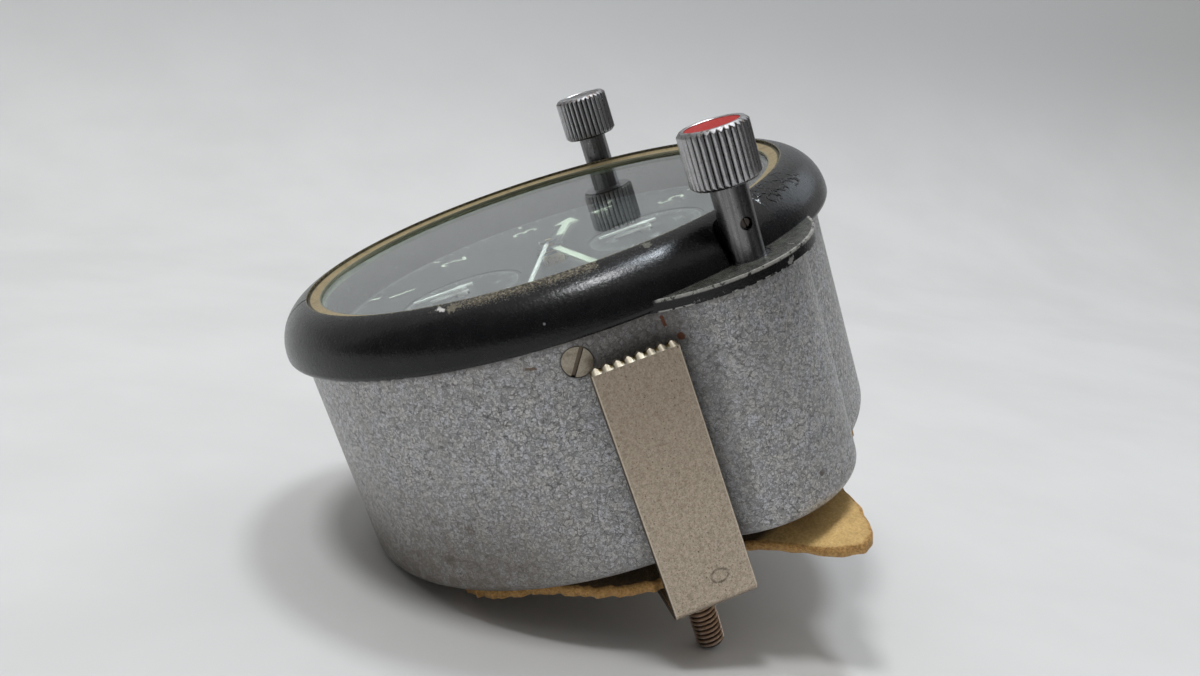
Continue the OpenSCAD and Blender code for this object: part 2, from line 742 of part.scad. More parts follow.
// Leather pad: outline in polar form, with a flap under each ear and a wavy cut edge
pad_sectors = 120;
pad_rings = 7;
pad_back_gap = 0.3;
pad_hole_gap = 0.5;
pad_wave = 0.7;
pad_ripple = 0.5;
pad_sag = 0.35;
pad_sag_wave = 0.3;
pad_flat_share = 0.45;
flap_lean = -0.5;
flap_near = 8;
flap_far = 10;
sag_lean = 6;
sag_width = 24;
cut_from = 20;
pad_r = case_r - pad_inset;
pad_top = -case_depth - pad_back_gap;
pad_cut_reach = case_r - pad_cut;
// Angle below the line from 9 to 3, the same on both sides
function below(a) = a > 270 ? 360 - a : a > 90 ? a - 180 : -a;
function flaps(a) =
    let (off = below(a) - knob_angle - flap_lean)
    exp(-(off / (off < 0 ? flap_near : flap_far)) ^ 2);
function sags(a) = exp(-((below(a) - sag_lean) / sag_width) ^ 2);
function pad_edge(a) =
    let (wave = pad_wave * sin(5 * a + 40) + pad_ripple * sin(11 * a),
        plain = pad_r + pad_flap * flaps(a) + wave)
    a > cut_from && a < 180 - cut_from ? min(plain, (pad_cut_reach + wave / 2) / sin(a)) : plain;
function pad_drop(a, share) =
    let (hang = max(0, share - pad_flat_share) / (1 - pad_flat_share))
    hang ^ 1.6 * (pad_droop * sags(a) + flap_droop * flaps(a) + pad_sag + pad_sag_wave * sin(7 * a));
module rear_pad() color("#b98b3f") difference() {
    points = [for (face = [0, 1], i = [1:pad_rings], j = [0:pad_sectors - 1])
        let (a = 360 * j / pad_sectors, share = i / pad_rings, r = pad_edge(a) * share)
        [r * cos(a), r * sin(a), pad_top - pad_drop(a, share) - face * pad_t]];
    n = pad_rings * pad_sectors;
    top = 2 * n;
    rings = [for (i = [0:pad_rings - 2], j = [0:pad_sectors - 1])
        let (k = (j + 1) % pad_sectors, p = i * pad_sectors, q = p + pad_sectors)
        each [[p + j, q + k, q + j], [p + j, p + k, q + k],
            [n + p + j, n + q + j, n + q + k], [n + p + j, n + q + k, n + p + k]]];
    middle = [for (j = [0:pad_sectors - 1])
        let (k = (j + 1) % pad_sectors)
        each [[top, k, j], [top + 1, n + j, n + k]]];
    rim = [for (j = [0:pad_sectors - 1])
        let (k = (j + 1) % pad_sectors, p = n - pad_sectors)
        each [[p + j, p + k, n + p + k], [p + j, n + p + k, n + p + j]]];
    centre = [[0, 0, pad_top], [0, 0, pad_top - pad_t]];
    polyhedron(concat(points, centre), concat(rings, middle, rim));
    at(CLAMPS) bore(clamp_screw_r + pad_hole_gap, pad_top - pad_t - pad_droop, pad_top);
}

// Movement

barrel_arbor_r = 1.5;
idler_post_r = 1;
motion_post_r = 0.7;
hub_r = 2;

// Heights of the wheels, from the front plate at 0 to the rear plate at 1
centre_z = level(0.06);
drum_top = level(0.1);
third_z = level(0.31);
drum_bottom = level(0.5);
fourth_z = level(0.55);
escape_z = level(0.75);
balance_z = level(0.89);

// Balance and hairspring
balance_t = 1;
balance_rim = 1.2;
balance_hub = 1.5;
roller_r = 2.4;
roller_t = 0.5;
roller_z = escape_z + wheel_t + free_gap;
impulse_pin_r = 0.3;
impulse_reach = roller_r - free_gap;
collet_r = 1;
collet_h = 0.8;
hairspring_h = 0.4;
hairspring_w = 0.15;
hairspring_reach = 3.95;
hairspring_z = roller_z + roller_t + end_play + collet_h / 2;
stud_r = 0.4;
stud_reach = hairspring_reach + hairspring_w + lap + stud_r;

// Motion work between the front plate and the dial
cannon_z = front_top + 1;
cannon_t = 1.2;
motion_pinion_z = front_top + 2.2;
motion_pinion_t = 1.8;
hour_wheel_z = front_top + 2.5;

module plate_blank(z0) translate([0, 0, z0]) linear_extrude(plate_t) {
    circle(plate_r);
    for (p = EARS) translate(p) circle(ear_in_r - free_gap);
}
module plate_holes(z0) {
    z1 = z0 + plate_t;
    at([third_at, escape_at, pallet_at, balance_at]) bore(pivot_r + running, z0, z1);
    at([barrel_at]) bore(barrel_arbor_r + running, z0, z1);
    at(KNOBS) bore(stem_r + running, z0, z1);
    at(POSTS) bore(post_r + seat, z0, z1);
}
module front_plate() color("#b59a5b") {
    difference() {
        plate_blank(front_bottom);
        plate_holes(front_bottom);
        bore(cannon_r + running, front_bottom, front_top);
        for (y = SIDES) translate([0, y * small_dial_reach, 0])
            bore(long_arbor_r + running, front_bottom, front_top);
        at(dial_feet_at) bore(dial_foot_r + seat, front_bottom, front_top);
        at(plate_screws_at) bore(plate_screw_r + seat, front_bottom, front_top);
    }
    at([motion_at]) rod(motion_post_r, front_top - lap, dial_bottom - end_play);
    at([balance_at + [stud_reach, 0]]) rod(stud_r, hairspring_z - hairspring_h, front_bottom + lap);
}
module rear_plate() color("#b59a5b") difference() {
    plate_blank(rear_bottom);
    plate_holes(rear_bottom);
    bore(pivot_r + running, rear_bottom, rear_top);
    at([idler_at]) bore(idler_post_r + seat, rear_bottom, rear_top);
    at(pillars_at) bore(pillar_screw_r + seat, rear_bottom, rear_top);
}
pillar_screw_in = 2.5;
pillar_screw_head = [1.6, 0.8];
module plate_pillars() color("#c2a96b") at(pillars_at) difference() {
    rod(pillar_r, rear_top, front_bottom);
    rod(pillar_screw_r + seat, rear_top - eps, rear_top + pillar_screw_in + eps);
}
module pillar_screws() color("#6f7480") at(pillars_at) {
    rod(pillar_screw_r, rear_bottom - lap, rear_top + pillar_screw_in);
    rod(pillar_screw_head[0], rear_bottom - pillar_screw_head[1], rear_bottom);
}
plate_screw_head = [1.1, 0.7];
module plate_screws() color("#6f7480") at(plate_screws_at) {
    rod(plate_screw_r, front_bottom - lap, plate_screw_top);
    rod(plate_screw_head[0], front_bottom - plate_screw_head[1], front_bottom);
}

// Arbor with a thin pivot at each end, from the rear plate to the front plate
module arbor(r) {
    rod(r, rear_top + end_play, front_bottom - end_play);
    rod(pivot_r, rear_bottom + end_play, front_top - end_play);
}

module centre_wheel() color("#cbb06a") difference() {
    union() {
        spoked(centre_teeth, train_module, centre_z, wheel_t);
        gear(barrel_pinion, barrel_module, drum_top - wheel_t, 2 * wheel_t);
        rod(hub_r, drum_top - wheel_t, centre_z);
        rod(centre_tube_r, centre_z, minute_z - free_gap);
    }
    bore(second_arbor_r + running, drum_top - 2 * wheel_t, minute_z);
}
module third_wheel() color("#cbb06a") at([third_at]) {
    gear(pinion_teeth, train_module, centre_z, 2 * wheel_t, third_phase);
    spoked(third_teeth, fourth_module, third_z, wheel_t, third_phase);
    arbor(arbor_r);
}
module fourth_wheel() color("#cbb06a") {
    gear(pinion_teeth, fourth_module, third_z, 2 * wheel_t, fourth_phase);
    spoked(fourth_teeth, train_module, fourth_z, wheel_t, fourth_phase);
    rod(second_arbor_r, rear_top + end_play, second_z + hand_t + lap);
    rod(pivot_r, rear_bottom + end_play, rear_top + eps);
}

// Shapes of the escapement in plan, in train modules
escape_tooth = [[-3.9, -1], [0, 0.83], [0, 1.39], [-3.9, 0.97]];
escape_rim = 3.05;
pallet_hub = 3.33;
pallet_arm = [[0, -1.67], [9.17, 4.44], [9.17, 7.78], [11.1, 7.78], [11.1, 3.33], [0, -3.89]];
pallet_lever = [[-1.94, 0], [1.94, 0], [2.5, -14.4], [0.97, -14.4], [0.83, -12.2], [-0.83, -12.2],
    [-0.97, -14.4], [-2.5, -14.4]];
module escape_wheel() color("#b7b9bb") at([escape_at]) {
    gear(pinion_teeth, train_module, fourth_z, 2 * wheel_t, escape_phase);
    translate([0, 0, escape_z - wheel_t / 2]) linear_extrude(wheel_t) {
        circle(escape_r - escape_rim * train_module);
        for (k = [0:escape_teeth - 1]) rotate(360 * k / escape_teeth) translate([escape_r, 0])
            polygon(train_module * escape_tooth);
    }
    arbor(arbor_r);
}
module pallet_fork() color("#b7b9bb") at([pallet_at]) {
    translate([0, 0, escape_z - wheel_t / 2]) linear_extrude(wheel_t) {
        for (s = SIDES) polygon([for (p = train_module * pallet_arm) [s * p[0], p[1]]]);
        polygon(train_module * pallet_lever);
        circle(pallet_hub * train_module);
    }
    arbor(arbor_r);
}
module balance_wheel() color("#d0b96c") at([balance_at]) {
    translate([0, 0, balance_z - balance_t / 2]) linear_extrude(balance_t) {
        difference() {
            circle(balance_r);
            circle(balance_r - balance_rim);
        }
        square([2 * balance_r - balance_rim, balance_rim], center = true);
        circle(balance_hub);
    }
    rod(roller_r, roller_z, roller_z + roller_t);
    translate([0, -impulse_reach, 0]) rod(impulse_pin_r, escape_z - wheel_t, roller_z + lap);
    rod(collet_r, hairspring_z - collet_h / 2, hairspring_z + collet_h / 2);
    arbor(arbor_r);
}

// Flat spiral strip from radius r0 to radius r1
function spiral(r0, r1, turns, steps) =
    [for (i = [0:steps]) turned(r0 + (r1 - r0) * i / steps, 360 * turns * i / steps)];
module spiral_strip(r0, r1, turns, width, steps) {
    inner = spiral(r0, r1, turns, steps);
    outer = spiral(r0 + width, r1 + width, turns, steps);
    polygon(concat(inner, [for (i = [steps:-1:0]) outer[i]]));
}
module hairspring() color("#4d5a73") at([balance_at])
    translate([0, 0, hairspring_z - hairspring_h / 2]) linear_extrude(hairspring_h)
        spiral_strip(collet_r + running, hairspring_reach, 5, hairspring_w, 100);

// Barrel: toothed drum, coiled spring and the arbor with the ratchet wheel
drum_inset = 1.6;
drum_r = barrel_teeth * barrel_module / 2 - drum_inset;
drum_wall = 0.9;
core_wall = 1;
mainspring_t = 0.3;
wind_t = 1.6;
core_bottom = drum_bottom + drum_wall + end_play;
core_top = drum_top - 2 * wheel_t - end_play;
module barrel_drum() color("#c7a95c") at([barrel_at]) difference() {
    union() {
        gear(barrel_teeth, barrel_module, drum_top - wheel_t, 2 * wheel_t, barrel_phase);
        rod(drum_r, drum_bottom, drum_top - wheel_t);
    }
    rod(drum_r - drum_wall, drum_bottom + drum_wall, drum_top - 2 * wheel_t);
    bore(barrel_arbor_r + running, drum_bottom, drum_top);
}
module mainspring() color("#5c6068") at([barrel_at])
    translate([0, 0, core_bottom]) linear_extrude(core_top - core_bottom)
        spiral_strip(barrel_arbor_r + core_wall + lap, drum_r - drum_wall - 2 * mainspring_t, 9,
            mainspring_t, 180);
module ratchet_wheel() color("#9ea2a6") at([barrel_at]) {
    gear(ratchet_teeth, wind_module, pinion_z, wind_t, ratchet_phase);
    rod(barrel_arbor_r, rear_bottom + end_play, front_top - end_play);
    rod(barrel_arbor_r + core_wall, core_bottom, core_top);
}
idler_head_r = 1.8;
idler_head_t = 0.5;
idler_head_z = pinion_z + wind_t / 2 + end_play;
module winding_idler() color("#9ea2a6") at([idler_at]) difference() {
    union() {
        gear(idler_teeth, wind_module, pinion_z, wind_t, idler_phase);
        rod(hub_r, rear_top + end_play, pinion_z);
    }
    bore(idler_post_r + running, rear_top, pinion_z + wind_t / 2);
}
module idler_post() color("#8d8f92") at([idler_at]) {
    rod(idler_post_r, rear_bottom, idler_head_z + idler_head_t);
    rod(idler_head_r, idler_head_z, idler_head_z + idler_head_t);
}
module cannon_pinion() color("#b7b9bb") difference() {
    union() {
        gear(cannon_teeth, cannon_module, cannon_z, cannon_t);
        rod(cannon_r, front_top + end_play, minute_z + hand_t);
    }
    bore(centre_tube_r + seat, front_top, minute_z + hand_t);
}
module minute_wheel() color("#cbb06a") at([motion_at]) difference() {
    union() {
        spoked(minute_teeth, cannon_module, cannon_z, wheel_t, motion_phase);
        gear(pinion_teeth, motion_module, motion_pinion_z, motion_pinion_t, motion_phase);
    }
    bore(motion_post_r + running, front_top, dial_bottom);
}
module hour_wheel() color("#cbb06a") difference() {
    union() {
        spoked(hour_teeth, motion_module, hour_wheel_z, wheel_t, hour_phase);
        rod(hour_tube_r, motion_pinion_z, hour_z + hand_t);
    }
    bore(cannon_r + running, motion_pinion_z, hour_z + hand_t);
}

case_cup();
bezel();
glass_ring();
glass();
glass_gasket();
dial();
case_screws();
hour_hand();
minute_hand();
seconds_hand();
flight_minute_hand();
flight_hour_hand();
stopwatch_second_hand();
stopwatch_minute_hand();
left_knob();
left_knob_disc();
left_grub_screw();
left_stem();
left_push_arm();
left_guide_post();
left_return_spring();
left_stem_bush();
right_knob();
right_grub_screw();
right_stem();
right_push_arm();
right_guide_post();
right_return_spring();
right_stem_bush();
left_clamp();
left_clamp_screw();
left_screw_bush();
right_clamp();
right_clamp_screw();
right_screw_bush();
rear_pad();
front_plate();
rear_plate();
plate_pillars();
pillar_screws();
plate_screws();
centre_wheel();
third_wheel();
fourth_wheel();
escape_wheel();
pallet_fork();
balance_wheel();
hairspring();
barrel_drum();
mainspring();
ratchet_wheel();
winding_idler();
idler_post();
cannon_pinion();
minute_wheel();
hour_wheel();
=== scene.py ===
# %% [markdown]
# # A panel-mounted aircraft clock
# The clock is a grey hammertone case with a black bezel, two fluted knobs, and two clamp straps
# that pull it against an instrument panel. The packed CAD model is the fixed frame: this lesson
# gives its pieces their finishes, and builds the fine shapes that a plain solid leaves out, such as
# threads, slotted screw heads, printed figures, worn teeth and torn leather.

# %% Load the frame
import math
from types import SimpleNamespace

import bmesh
import bpy
import numpy as np
from mathutils import Matrix, Vector


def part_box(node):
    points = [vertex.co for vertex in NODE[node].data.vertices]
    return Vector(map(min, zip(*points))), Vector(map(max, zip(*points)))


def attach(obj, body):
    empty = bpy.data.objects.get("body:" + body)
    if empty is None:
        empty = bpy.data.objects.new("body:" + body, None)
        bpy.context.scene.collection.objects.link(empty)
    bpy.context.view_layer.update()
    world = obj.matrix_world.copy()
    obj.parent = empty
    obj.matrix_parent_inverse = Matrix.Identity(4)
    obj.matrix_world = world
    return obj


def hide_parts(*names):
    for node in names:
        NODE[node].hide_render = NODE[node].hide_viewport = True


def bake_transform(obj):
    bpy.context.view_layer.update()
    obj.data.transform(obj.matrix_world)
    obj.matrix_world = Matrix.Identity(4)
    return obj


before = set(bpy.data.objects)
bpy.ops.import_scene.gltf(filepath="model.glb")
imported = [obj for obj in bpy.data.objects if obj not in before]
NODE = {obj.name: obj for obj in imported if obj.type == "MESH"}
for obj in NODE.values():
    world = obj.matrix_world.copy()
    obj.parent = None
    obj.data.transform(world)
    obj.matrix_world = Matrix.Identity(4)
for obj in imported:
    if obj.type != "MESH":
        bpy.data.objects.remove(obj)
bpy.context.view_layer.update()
MM = 0.001
SIDES = ("left", "right")

# %% [markdown]
# ## Camera
# The camera stands where the photograph was taken: close to the 9 o'clock side, a little above the
# case. Its place and its three axes came from fitting the outlines of the case and the bezel, so
# they are written down as they are. The lens follows from the focal length in pixels.

# %% Camera
def link(name, data):
    """A new object in the scene that shows a mesh, a lamp, a camera or a line of text."""
    thing = bpy.data.objects.new(name, data)
    bpy.context.scene.collection.objects.link(thing)
    return thing


CAMERA_AT = np.array((-175.118, 22.467, 41.739)) * MM
CAMERA_RIGHT = np.array((-0.22717, -0.93018, -0.28838))
CAMERA_BACK = np.array((-0.94410, 0.13766, 0.29965))
FOCAL_PX, PHOTO_W, SENSOR_MM = 1177.93, 1200, 36
camera = link("camera", bpy.data.cameras.new("camera"))
bpy.context.scene.camera = camera
camera.data.sensor_fit = "HORIZONTAL"
camera.data.sensor_width = SENSOR_MM
camera.data.lens = SENSOR_MM * FOCAL_PX / PHOTO_W
camera.data.clip_start = 5 * MM
camera_up = np.cross(CAMERA_BACK, CAMERA_RIGHT)
pose = np.eye(4)
pose[:3, 0] = CAMERA_RIGHT / np.linalg.norm(CAMERA_RIGHT)
pose[:3, 1] = camera_up / np.linalg.norm(camera_up)
pose[:3, 2] = np.cross(pose[:3, 0], pose[:3, 1])
pose[:3, 3] = CAMERA_AT
camera.matrix_world = Matrix(pose.tolist())
print("lens in mm:", round(camera.data.lens, 2))

# %% [markdown]
# ## Meshes from arrays
# Every new shape is a grid of points worked out as whole arrays. A skin is a grid with its faces,
# and its columns may close round. One helper joins skins into a clean mesh, in which a row can
# shrink to one point at a pole. Another puts the finished mesh on its body.

# %% Grid helpers
def heading(degrees):
    """Unit vector in the dial's plane, at an angle from 3 o'clock."""
    return np.array((math.cos(math.radians(degrees)), math.sin(math.radians(degrees)), 0))


def full_turn(count):
    """Angles of a whole turn, without the doubled last one."""
    return np.arange(count) * 2 * np.pi / count


def round_axis(r, z, turns, centre=(0, 0)):
    """Points at radius r, height z and each angle round an upright axis."""
    x, y = r * np.cos(turns) + centre[0], r * np.sin(turns) + centre[1]
    return np.stack([x, y, np.broadcast_to(z, x.shape)], -1)


def revolve(profile, turns, centre=(0, 0)):
    """Points (rows = profile, cols = angles) of a profile of (radius, height) carried round an axis."""
    profile = np.asarray(profile, float)
    return round_axis(profile[:, :1], profile[:, 1:], turns, centre)


def rod(radius, start, end, count, centre=(0, 0)):
    """A closed cylinder between two heights."""
    return revolve([(0, start), (radius, start), (radius, end), (0, end)], full_turn(count), centre)


def grid_faces(rows, cols, close=False):
    """Quads between the neighbours of a grid; close joins the last column to the first."""
    i, j = np.meshgrid(np.arange(rows - 1), np.arange(cols if close else cols - 1), indexing="ij")
    here, on = i * cols + j, i * cols + (j + 1) % cols
    return np.stack([here, on, on + cols, here + cols], -1).reshape(-1, 4)


def skin(grid, close=False):
    """A grid of points with its faces."""
    return grid, grid_faces(*grid.shape[:2], close).tolist()


def join(skins):
    """One array of points and one list of faces from several skins."""
    points, faces, start = [], [], 0
    for co, some in skins:
        points.append(np.asarray(co, float).reshape(-1, 3))
        faces += [[corner + start for corner in face] for face in some]
        start += len(points[-1])
    return np.concatenate(points), faces


def mesh_of(name, *skins, more=()):
    """Joins skins, with more faces on the first one's points. Points closer than a micrometre merge, flat
    faces go, and all faces are turned outwards."""
    points, faces = join(skins)
    mesh = bpy.data.meshes.new(name)
    mesh.from_pydata(points.tolist(), [], faces + list(more))
    work = bmesh.new()
    work.from_mesh(mesh)
    bmesh.ops.remove_doubles(work, verts=work.verts, dist=1e-6)
    bmesh.ops.dissolve_degenerate(work, edges=work.edges, dist=1e-7)
    bmesh.ops.recalc_face_normals(work, faces=work.faces)
    work.to_mesh(mesh)
    work.free()
    return mesh


def points_of(mesh):
    """A mesh's points as an array."""
    co = np.zeros(len(mesh.vertices) * 3)
    mesh.vertices.foreach_get("co", co)
    return co.reshape(-1, 3)


def box_and_axis(node):
    """A CAD node's lowest and highest corner, and where its upright axis stands."""
    low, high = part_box(node)
    return low, high, ((low[0] + high[0]) / 2, (low[1] + high[1]) / 2)


def place_piece(name, mesh, material, body, replaces=(), sharp=None, bend=None):
    """Links a finished mesh at the origin, on its body, with its material. Where bend is given, the piece
    goes on no body: its place is baked into its mesh."""
    if sharp:
        mesh.shade_smooth()
        mesh.set_sharp_from_angle(angle=math.radians(sharp))
    mesh.name = name
    piece = link(name, mesh)
    mesh.materials.clear()
    mesh.materials.append(material)
    if bend:
        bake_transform(piece)
    else:
        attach(piece, body)
    if replaces:
        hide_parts(*replaces)
    print(f"{name}: {len(mesh.vertices)} points, {len(mesh.polygons)} faces on {body}")
    return piece


print("grid of 3 x 4 points:", len(grid_faces(3, 4)), "faces, closed:", len(grid_faces(3, 4, True)))

# %% [markdown]
# ## Node helpers
# A finish is a small tree of nodes. Here a node's output is a Field, which can be added, multiplied
# and ramped like a number; every such step adds a node. All patterns read Object coordinates, turned
# into millimetres, so that a number in a finish is a size on the clock.

# %% Node helpers
class Field:
    """A value, vector or colour that changes over a surface: one output of a node."""

    def __init__(self, socket):
        self.socket, self.tree = socket, socket.id_data

    def math(self, operation, b=0.0, c=0.0):
        """One Math node of this value and up to two more."""
        return put(self.tree, "Math", {0: self, 1: b, 2: c}, operation=operation)

    def __add__(self, other):
        return self.math("ADD", other)

    def __sub__(self, other):
        return self.math("SUBTRACT", other)

    def __mul__(self, other):
        return self.math("MULTIPLY", other)

    def __truediv__(self, other):
        return self.math("DIVIDE", other)

    def __pow__(self, other):
        return self.math("POWER", other)

    def vector(self, operation, other=(0.0, 0.0, 0.0), out=0):
        """One Vector Math node of this vector and another; output 1 is a number."""
        return put(self.tree, "VectorMath", {0: self, 1: other}, out, operation=operation)

    def scaled(self, by):
        """This vector times a number."""
        return put(self.tree, "VectorMath", {0: self, 3: by}, operation="SCALE")

    def parts(self):
        """The three parts of this vector."""
        return [put(self.tree, "SeparateXYZ", {0: self}, out) for out in "XYZ"]

    def ramp(self, low, high, to_low=0.0, to_high=1.0):
        """Scaled from low..high to to_low..to_high, with a smooth start and end, clamped."""
        values = {"Value": self, "From Min": low, "From Max": high, "To Min": to_low, "To Max": to_high}
        return put(self.tree, "MapRange", values, interpolation_type="SMOOTHSTEP")

    def band(self, low, high, soft):
        """1 between low and high, with soft borders of the given width."""
        return self.ramp(low - soft, low) * self.ramp(high, high + soft, 1.0, 0.0)


def fill(node, values):
    """Sets or links a node's inputs, such as Base_Color; a colour of three numbers is made opaque."""
    for key, value in values.items():
        socket = node.inputs[key if isinstance(key, int) else key.replace("_", " ")]
        if isinstance(value, Field):
            node.id_data.links.new(value.socket, socket)
        else:
            socket.default_value = (*value, 1) if socket.type == "RGBA" and len(value) == 3 else value


def feed(node, **values):
    """Sets or links a node's inputs by name."""
    fill(node, values)


def put(tree, kind, values=None, out=0, **settings):
    """Adds a shader node, sets its properties and inputs, and gives one of its outputs."""
    node = tree.nodes.new("ShaderNode" + kind)
    for key, value in settings.items():
        setattr(node, key, value)
    fill(node, values or {})
    return Field(node.outputs[out])


def tint(share, first, second):
    """Colour that goes from first to second with share."""
    return put(share.tree, "Mix", {0: share, 6: first, 7: second}, 2, data_type="RGBA")


def coats(colour, *layers):
    """Lays (mask, tone) layers over a colour, one after another."""
    for mask, tone in layers:
        colour = tint(mask, colour, tone)
    return colour


def noise(place, scale, detail=3.0, rough=0.55, out=0):
    """Fractal noise from 0 to 1; scale is in waves per millimetre."""
    values = {"Vector": place, "Scale": scale, "Detail": detail, "Roughness": rough}
    return put(place.tree, "TexNoise", values, out)


def cells(place, scale, feature, value="Distance"):
    """Voronoi cells; scale is in cells per millimetre."""
    return put(place.tree, "TexVoronoi", {"Vector": place, "Scale": scale}, value, feature=feature)


def bump(shader, height, depth, strength):
    """Relief from a height of 0 to 1; depth is in millimetres."""
    values = {"Height": height, "Distance": depth * MM, "Strength": strength}
    feed(shader, Normal=put(height.tree, "Bump", values))


def clear_where(shader, mask, colour):
    """Lets a material be seen through, in the given colour, where the mask is 1."""
    clear = put(mask.tree, "BsdfTransparent", {"Color": colour})
    mixed = put(mask.tree, "MixShader", {0: mask, 1: Field(shader.outputs[0]), 2: clear})
    feed(mask.tree.nodes["Material Output"], Surface=mixed)


print("a Field has:", [name for name in vars(Field) if not name.startswith("_")])

# %% [markdown]
# ## Floor and light
# The real clock rests on its two clamp screws and on the back edge of its case, so it leans about
# 24 degrees. The floor is therefore a leaning plane in the clock's own frame. Behind the clock it
# sweeps up in an arc, as a photographer's paper does, so that no horizon shows. It is clear when
# seen from behind, so that the clock can be looked at from every side.

# %% Floor
LEAN = math.radians(23.66)
FLOOR_DEPTH = -46.03 * MM
FLOOR_NEAR, FLOOR_FAR, FLOOR_STEPS = -0.75, 0.22, 11
SWEEP_R, SWEEP_TOP, SWEEP_HALF = 0.25, 0.60, 0.90
floor_up = np.array((0, -math.sin(LEAN), math.cos(LEAN)))
floor_back = np.array((0, math.cos(LEAN), math.sin(LEAN)))
floor_along = np.array((1, 0, 0))
arc = np.linspace(0, np.pi / 2, 25)
along = np.concatenate([np.linspace(FLOOR_NEAR, FLOOR_FAR, FLOOR_STEPS + 1)[:-1],
                        FLOOR_FAR + SWEEP_R * np.sin(arc), [FLOOR_FAR + SWEEP_R]])
rise = np.concatenate([np.zeros(FLOOR_STEPS), SWEEP_R * (1 - np.cos(arc)), [SWEEP_TOP]])
across = np.linspace(-SWEEP_HALF, SWEEP_HALF, 13)
sweep = (floor_up * (FLOOR_DEPTH + rise)[:, None, None] + along[:, None, None] * floor_along
         + across[None, :, None] * floor_back)
floor_mesh = mesh_of("floor", skin(sweep))
if floor_mesh.polygons[0].normal.dot(floor_up.tolist()) < 0:
    floor_mesh.flip_normals()
floor_mesh.shade_smooth()
link("floor", floor_mesh)
print("floor leans", round(math.degrees(LEAN), 1), "degrees")

# %% [markdown]
# Two small overhead soft boxes throw the two shadows. A dim cool panel behind the 6 o'clock side and
# a wide sheen box, which is only seen in gloss, draw the blue sheen along the bezel. A curved dark
# card stands on the camera's side, as photographers put up against black gloss: it keeps the black
# paint black, and darkens one flank of each flute. The camera doesn't see it. The levels add up to
# about 1 on the floor, so colours render as written. What is seen of the world directly, in metal or
# in glass, is pale.

# %% Lamps and world
def soft_box(name, direction, distance, size, power, colour):
    """A round area lamp at direction x distance from the clock, turned to face it."""
    lamp = bpy.data.lights.new(name, "AREA")
    lamp.shape, lamp.size, lamp.energy, lamp.color = "DISK", size, power, colour
    holder = link(name, lamp)
    way = np.array(direction, float) / np.linalg.norm(direction)
    turn = Vector((-way).tolist()).to_track_quat("-Z", "Y").to_matrix().to_4x4()
    holder.matrix_world = Matrix.Translation((way * distance).tolist()) @ turn
    return holder


soft_box("overhead_box", (-0.20, -0.12, 0.97), 0.80, 0.16, 2.4, (0.97, 0.985, 1.0))
soft_box("second_box", (0.02, -0.47, 0.88), 0.80, 0.14, 2.0, (0.90, 0.95, 1.0))
soft_box("cool_panel", (0.42, -0.87, 0.25), 0.60, 0.30, 0.20, (0.78, 0.89, 1.0))
sheen_box = soft_box("sheen_box", (0.04, -0.40, 0.915), 0.85, 0.24, 2.2, (0.80, 0.90, 1.0))
sheen_box.visible_diffuse = False
WORLD_LIT, WORLD_SEEN = 0.56, 0.50
world = bpy.data.worlds.new("studio")
bpy.context.scene.world = world
world.use_nodes = True
sky = world.node_tree
rays = [put(sky, "LightPath", out=f"Is {kind} Ray") for kind in ("Camera", "Glossy", "Transmission")]
direct = rays[0].math("MAXIMUM", rays[1].math("MAXIMUM", rays[2]))
feed(sky.nodes["Background"], Strength=direct.math("MULTIPLY_ADD", WORLD_SEEN - WORLD_LIT, WORLD_LIT),
     Color=(1.0, 0.99, 0.975))

CARD_R, CARD_LOW, CARD_TOP = 0.55, 0.002, 0.60
card_turn = np.radians(np.linspace(70, 284, 44))[None, :, None]
card_rise = np.array((CARD_LOW, CARD_TOP))[:, None, None]
card_co = (floor_up * (FLOOR_DEPTH + card_rise)
           + CARD_R * (np.cos(card_turn) * floor_along + np.sin(card_turn) * floor_back))
card_mesh = mesh_of("dark_card", skin(card_co))
card = link("dark_card", card_mesh)
card.visible_camera = False
bpy.context.scene.view_settings.view_transform = "Standard"

# %% [markdown]
# ## Shared effects
# Some effects turn up in several finishes, so each is a node group that is built once: the place of
# a point round an axis, the fine scratches of handled metal, the grime that gathers in specks and
# clouds, and two kinds of single mark, a ragged spot and a straight stroke.

# %% Node groups
def new_group(name, inputs, outputs):
    """A node group with named float or vector sockets; gives its tree, its inputs and its way out."""
    group = bpy.data.node_groups.new(name, "ShaderNodeTree")
    for direction, sockets in (("INPUT", inputs), ("OUTPUT", outputs)):
        for label, kind in sockets.items():
            group.interface.new_socket(label, in_out=direction, socket_type="NodeSocket" + kind)
    way_in, way_out = group.nodes.new("NodeGroupInput"), group.nodes.new("NodeGroupOutput")
    return group, [Field(way_in.outputs[label]) for label in inputs], way_out


def use_group(tree, group, **values):
    """Places a group, sets or links its inputs, and gives its outputs by their names in small letters."""
    node = put(tree, "Group", values, node_tree=group).socket.node
    return SimpleNamespace(**{socket.name.lower(): Field(socket) for socket in node.outputs})


place_group, (centre,), way_out = new_group(
    "place_on_clock", dict(Centre="Vector"),
    dict(Millimetres="Vector", Radius="Float", Turn="Float", Height="Float", Up="Float"))
in_mm = put(place_group, "TexCoord", out="Object").scaled(1000.0)
side, up, height = in_mm.parts()
mirrored = put(place_group, "CombineXYZ", {0: side.math("ABSOLUTE"), 1: up, 2: height})
use_mirror = centre.vector("LENGTH", out=1).math("GREATER_THAN", 0.5)
chosen = put(place_group, "Mix", {0: use_mirror, 4: in_mm, 5: mirrored}, 1, data_type="VECTOR")
side, up, height = chosen.vector("SUBTRACT", centre).parts()
feed(way_out, Millimetres=in_mm, Radius=(side ** 2.0 + up ** 2.0).math("SQRT"),
     Turn=up.math("ARCTAN2", side).math("DEGREES"), Height=height, Up=up)

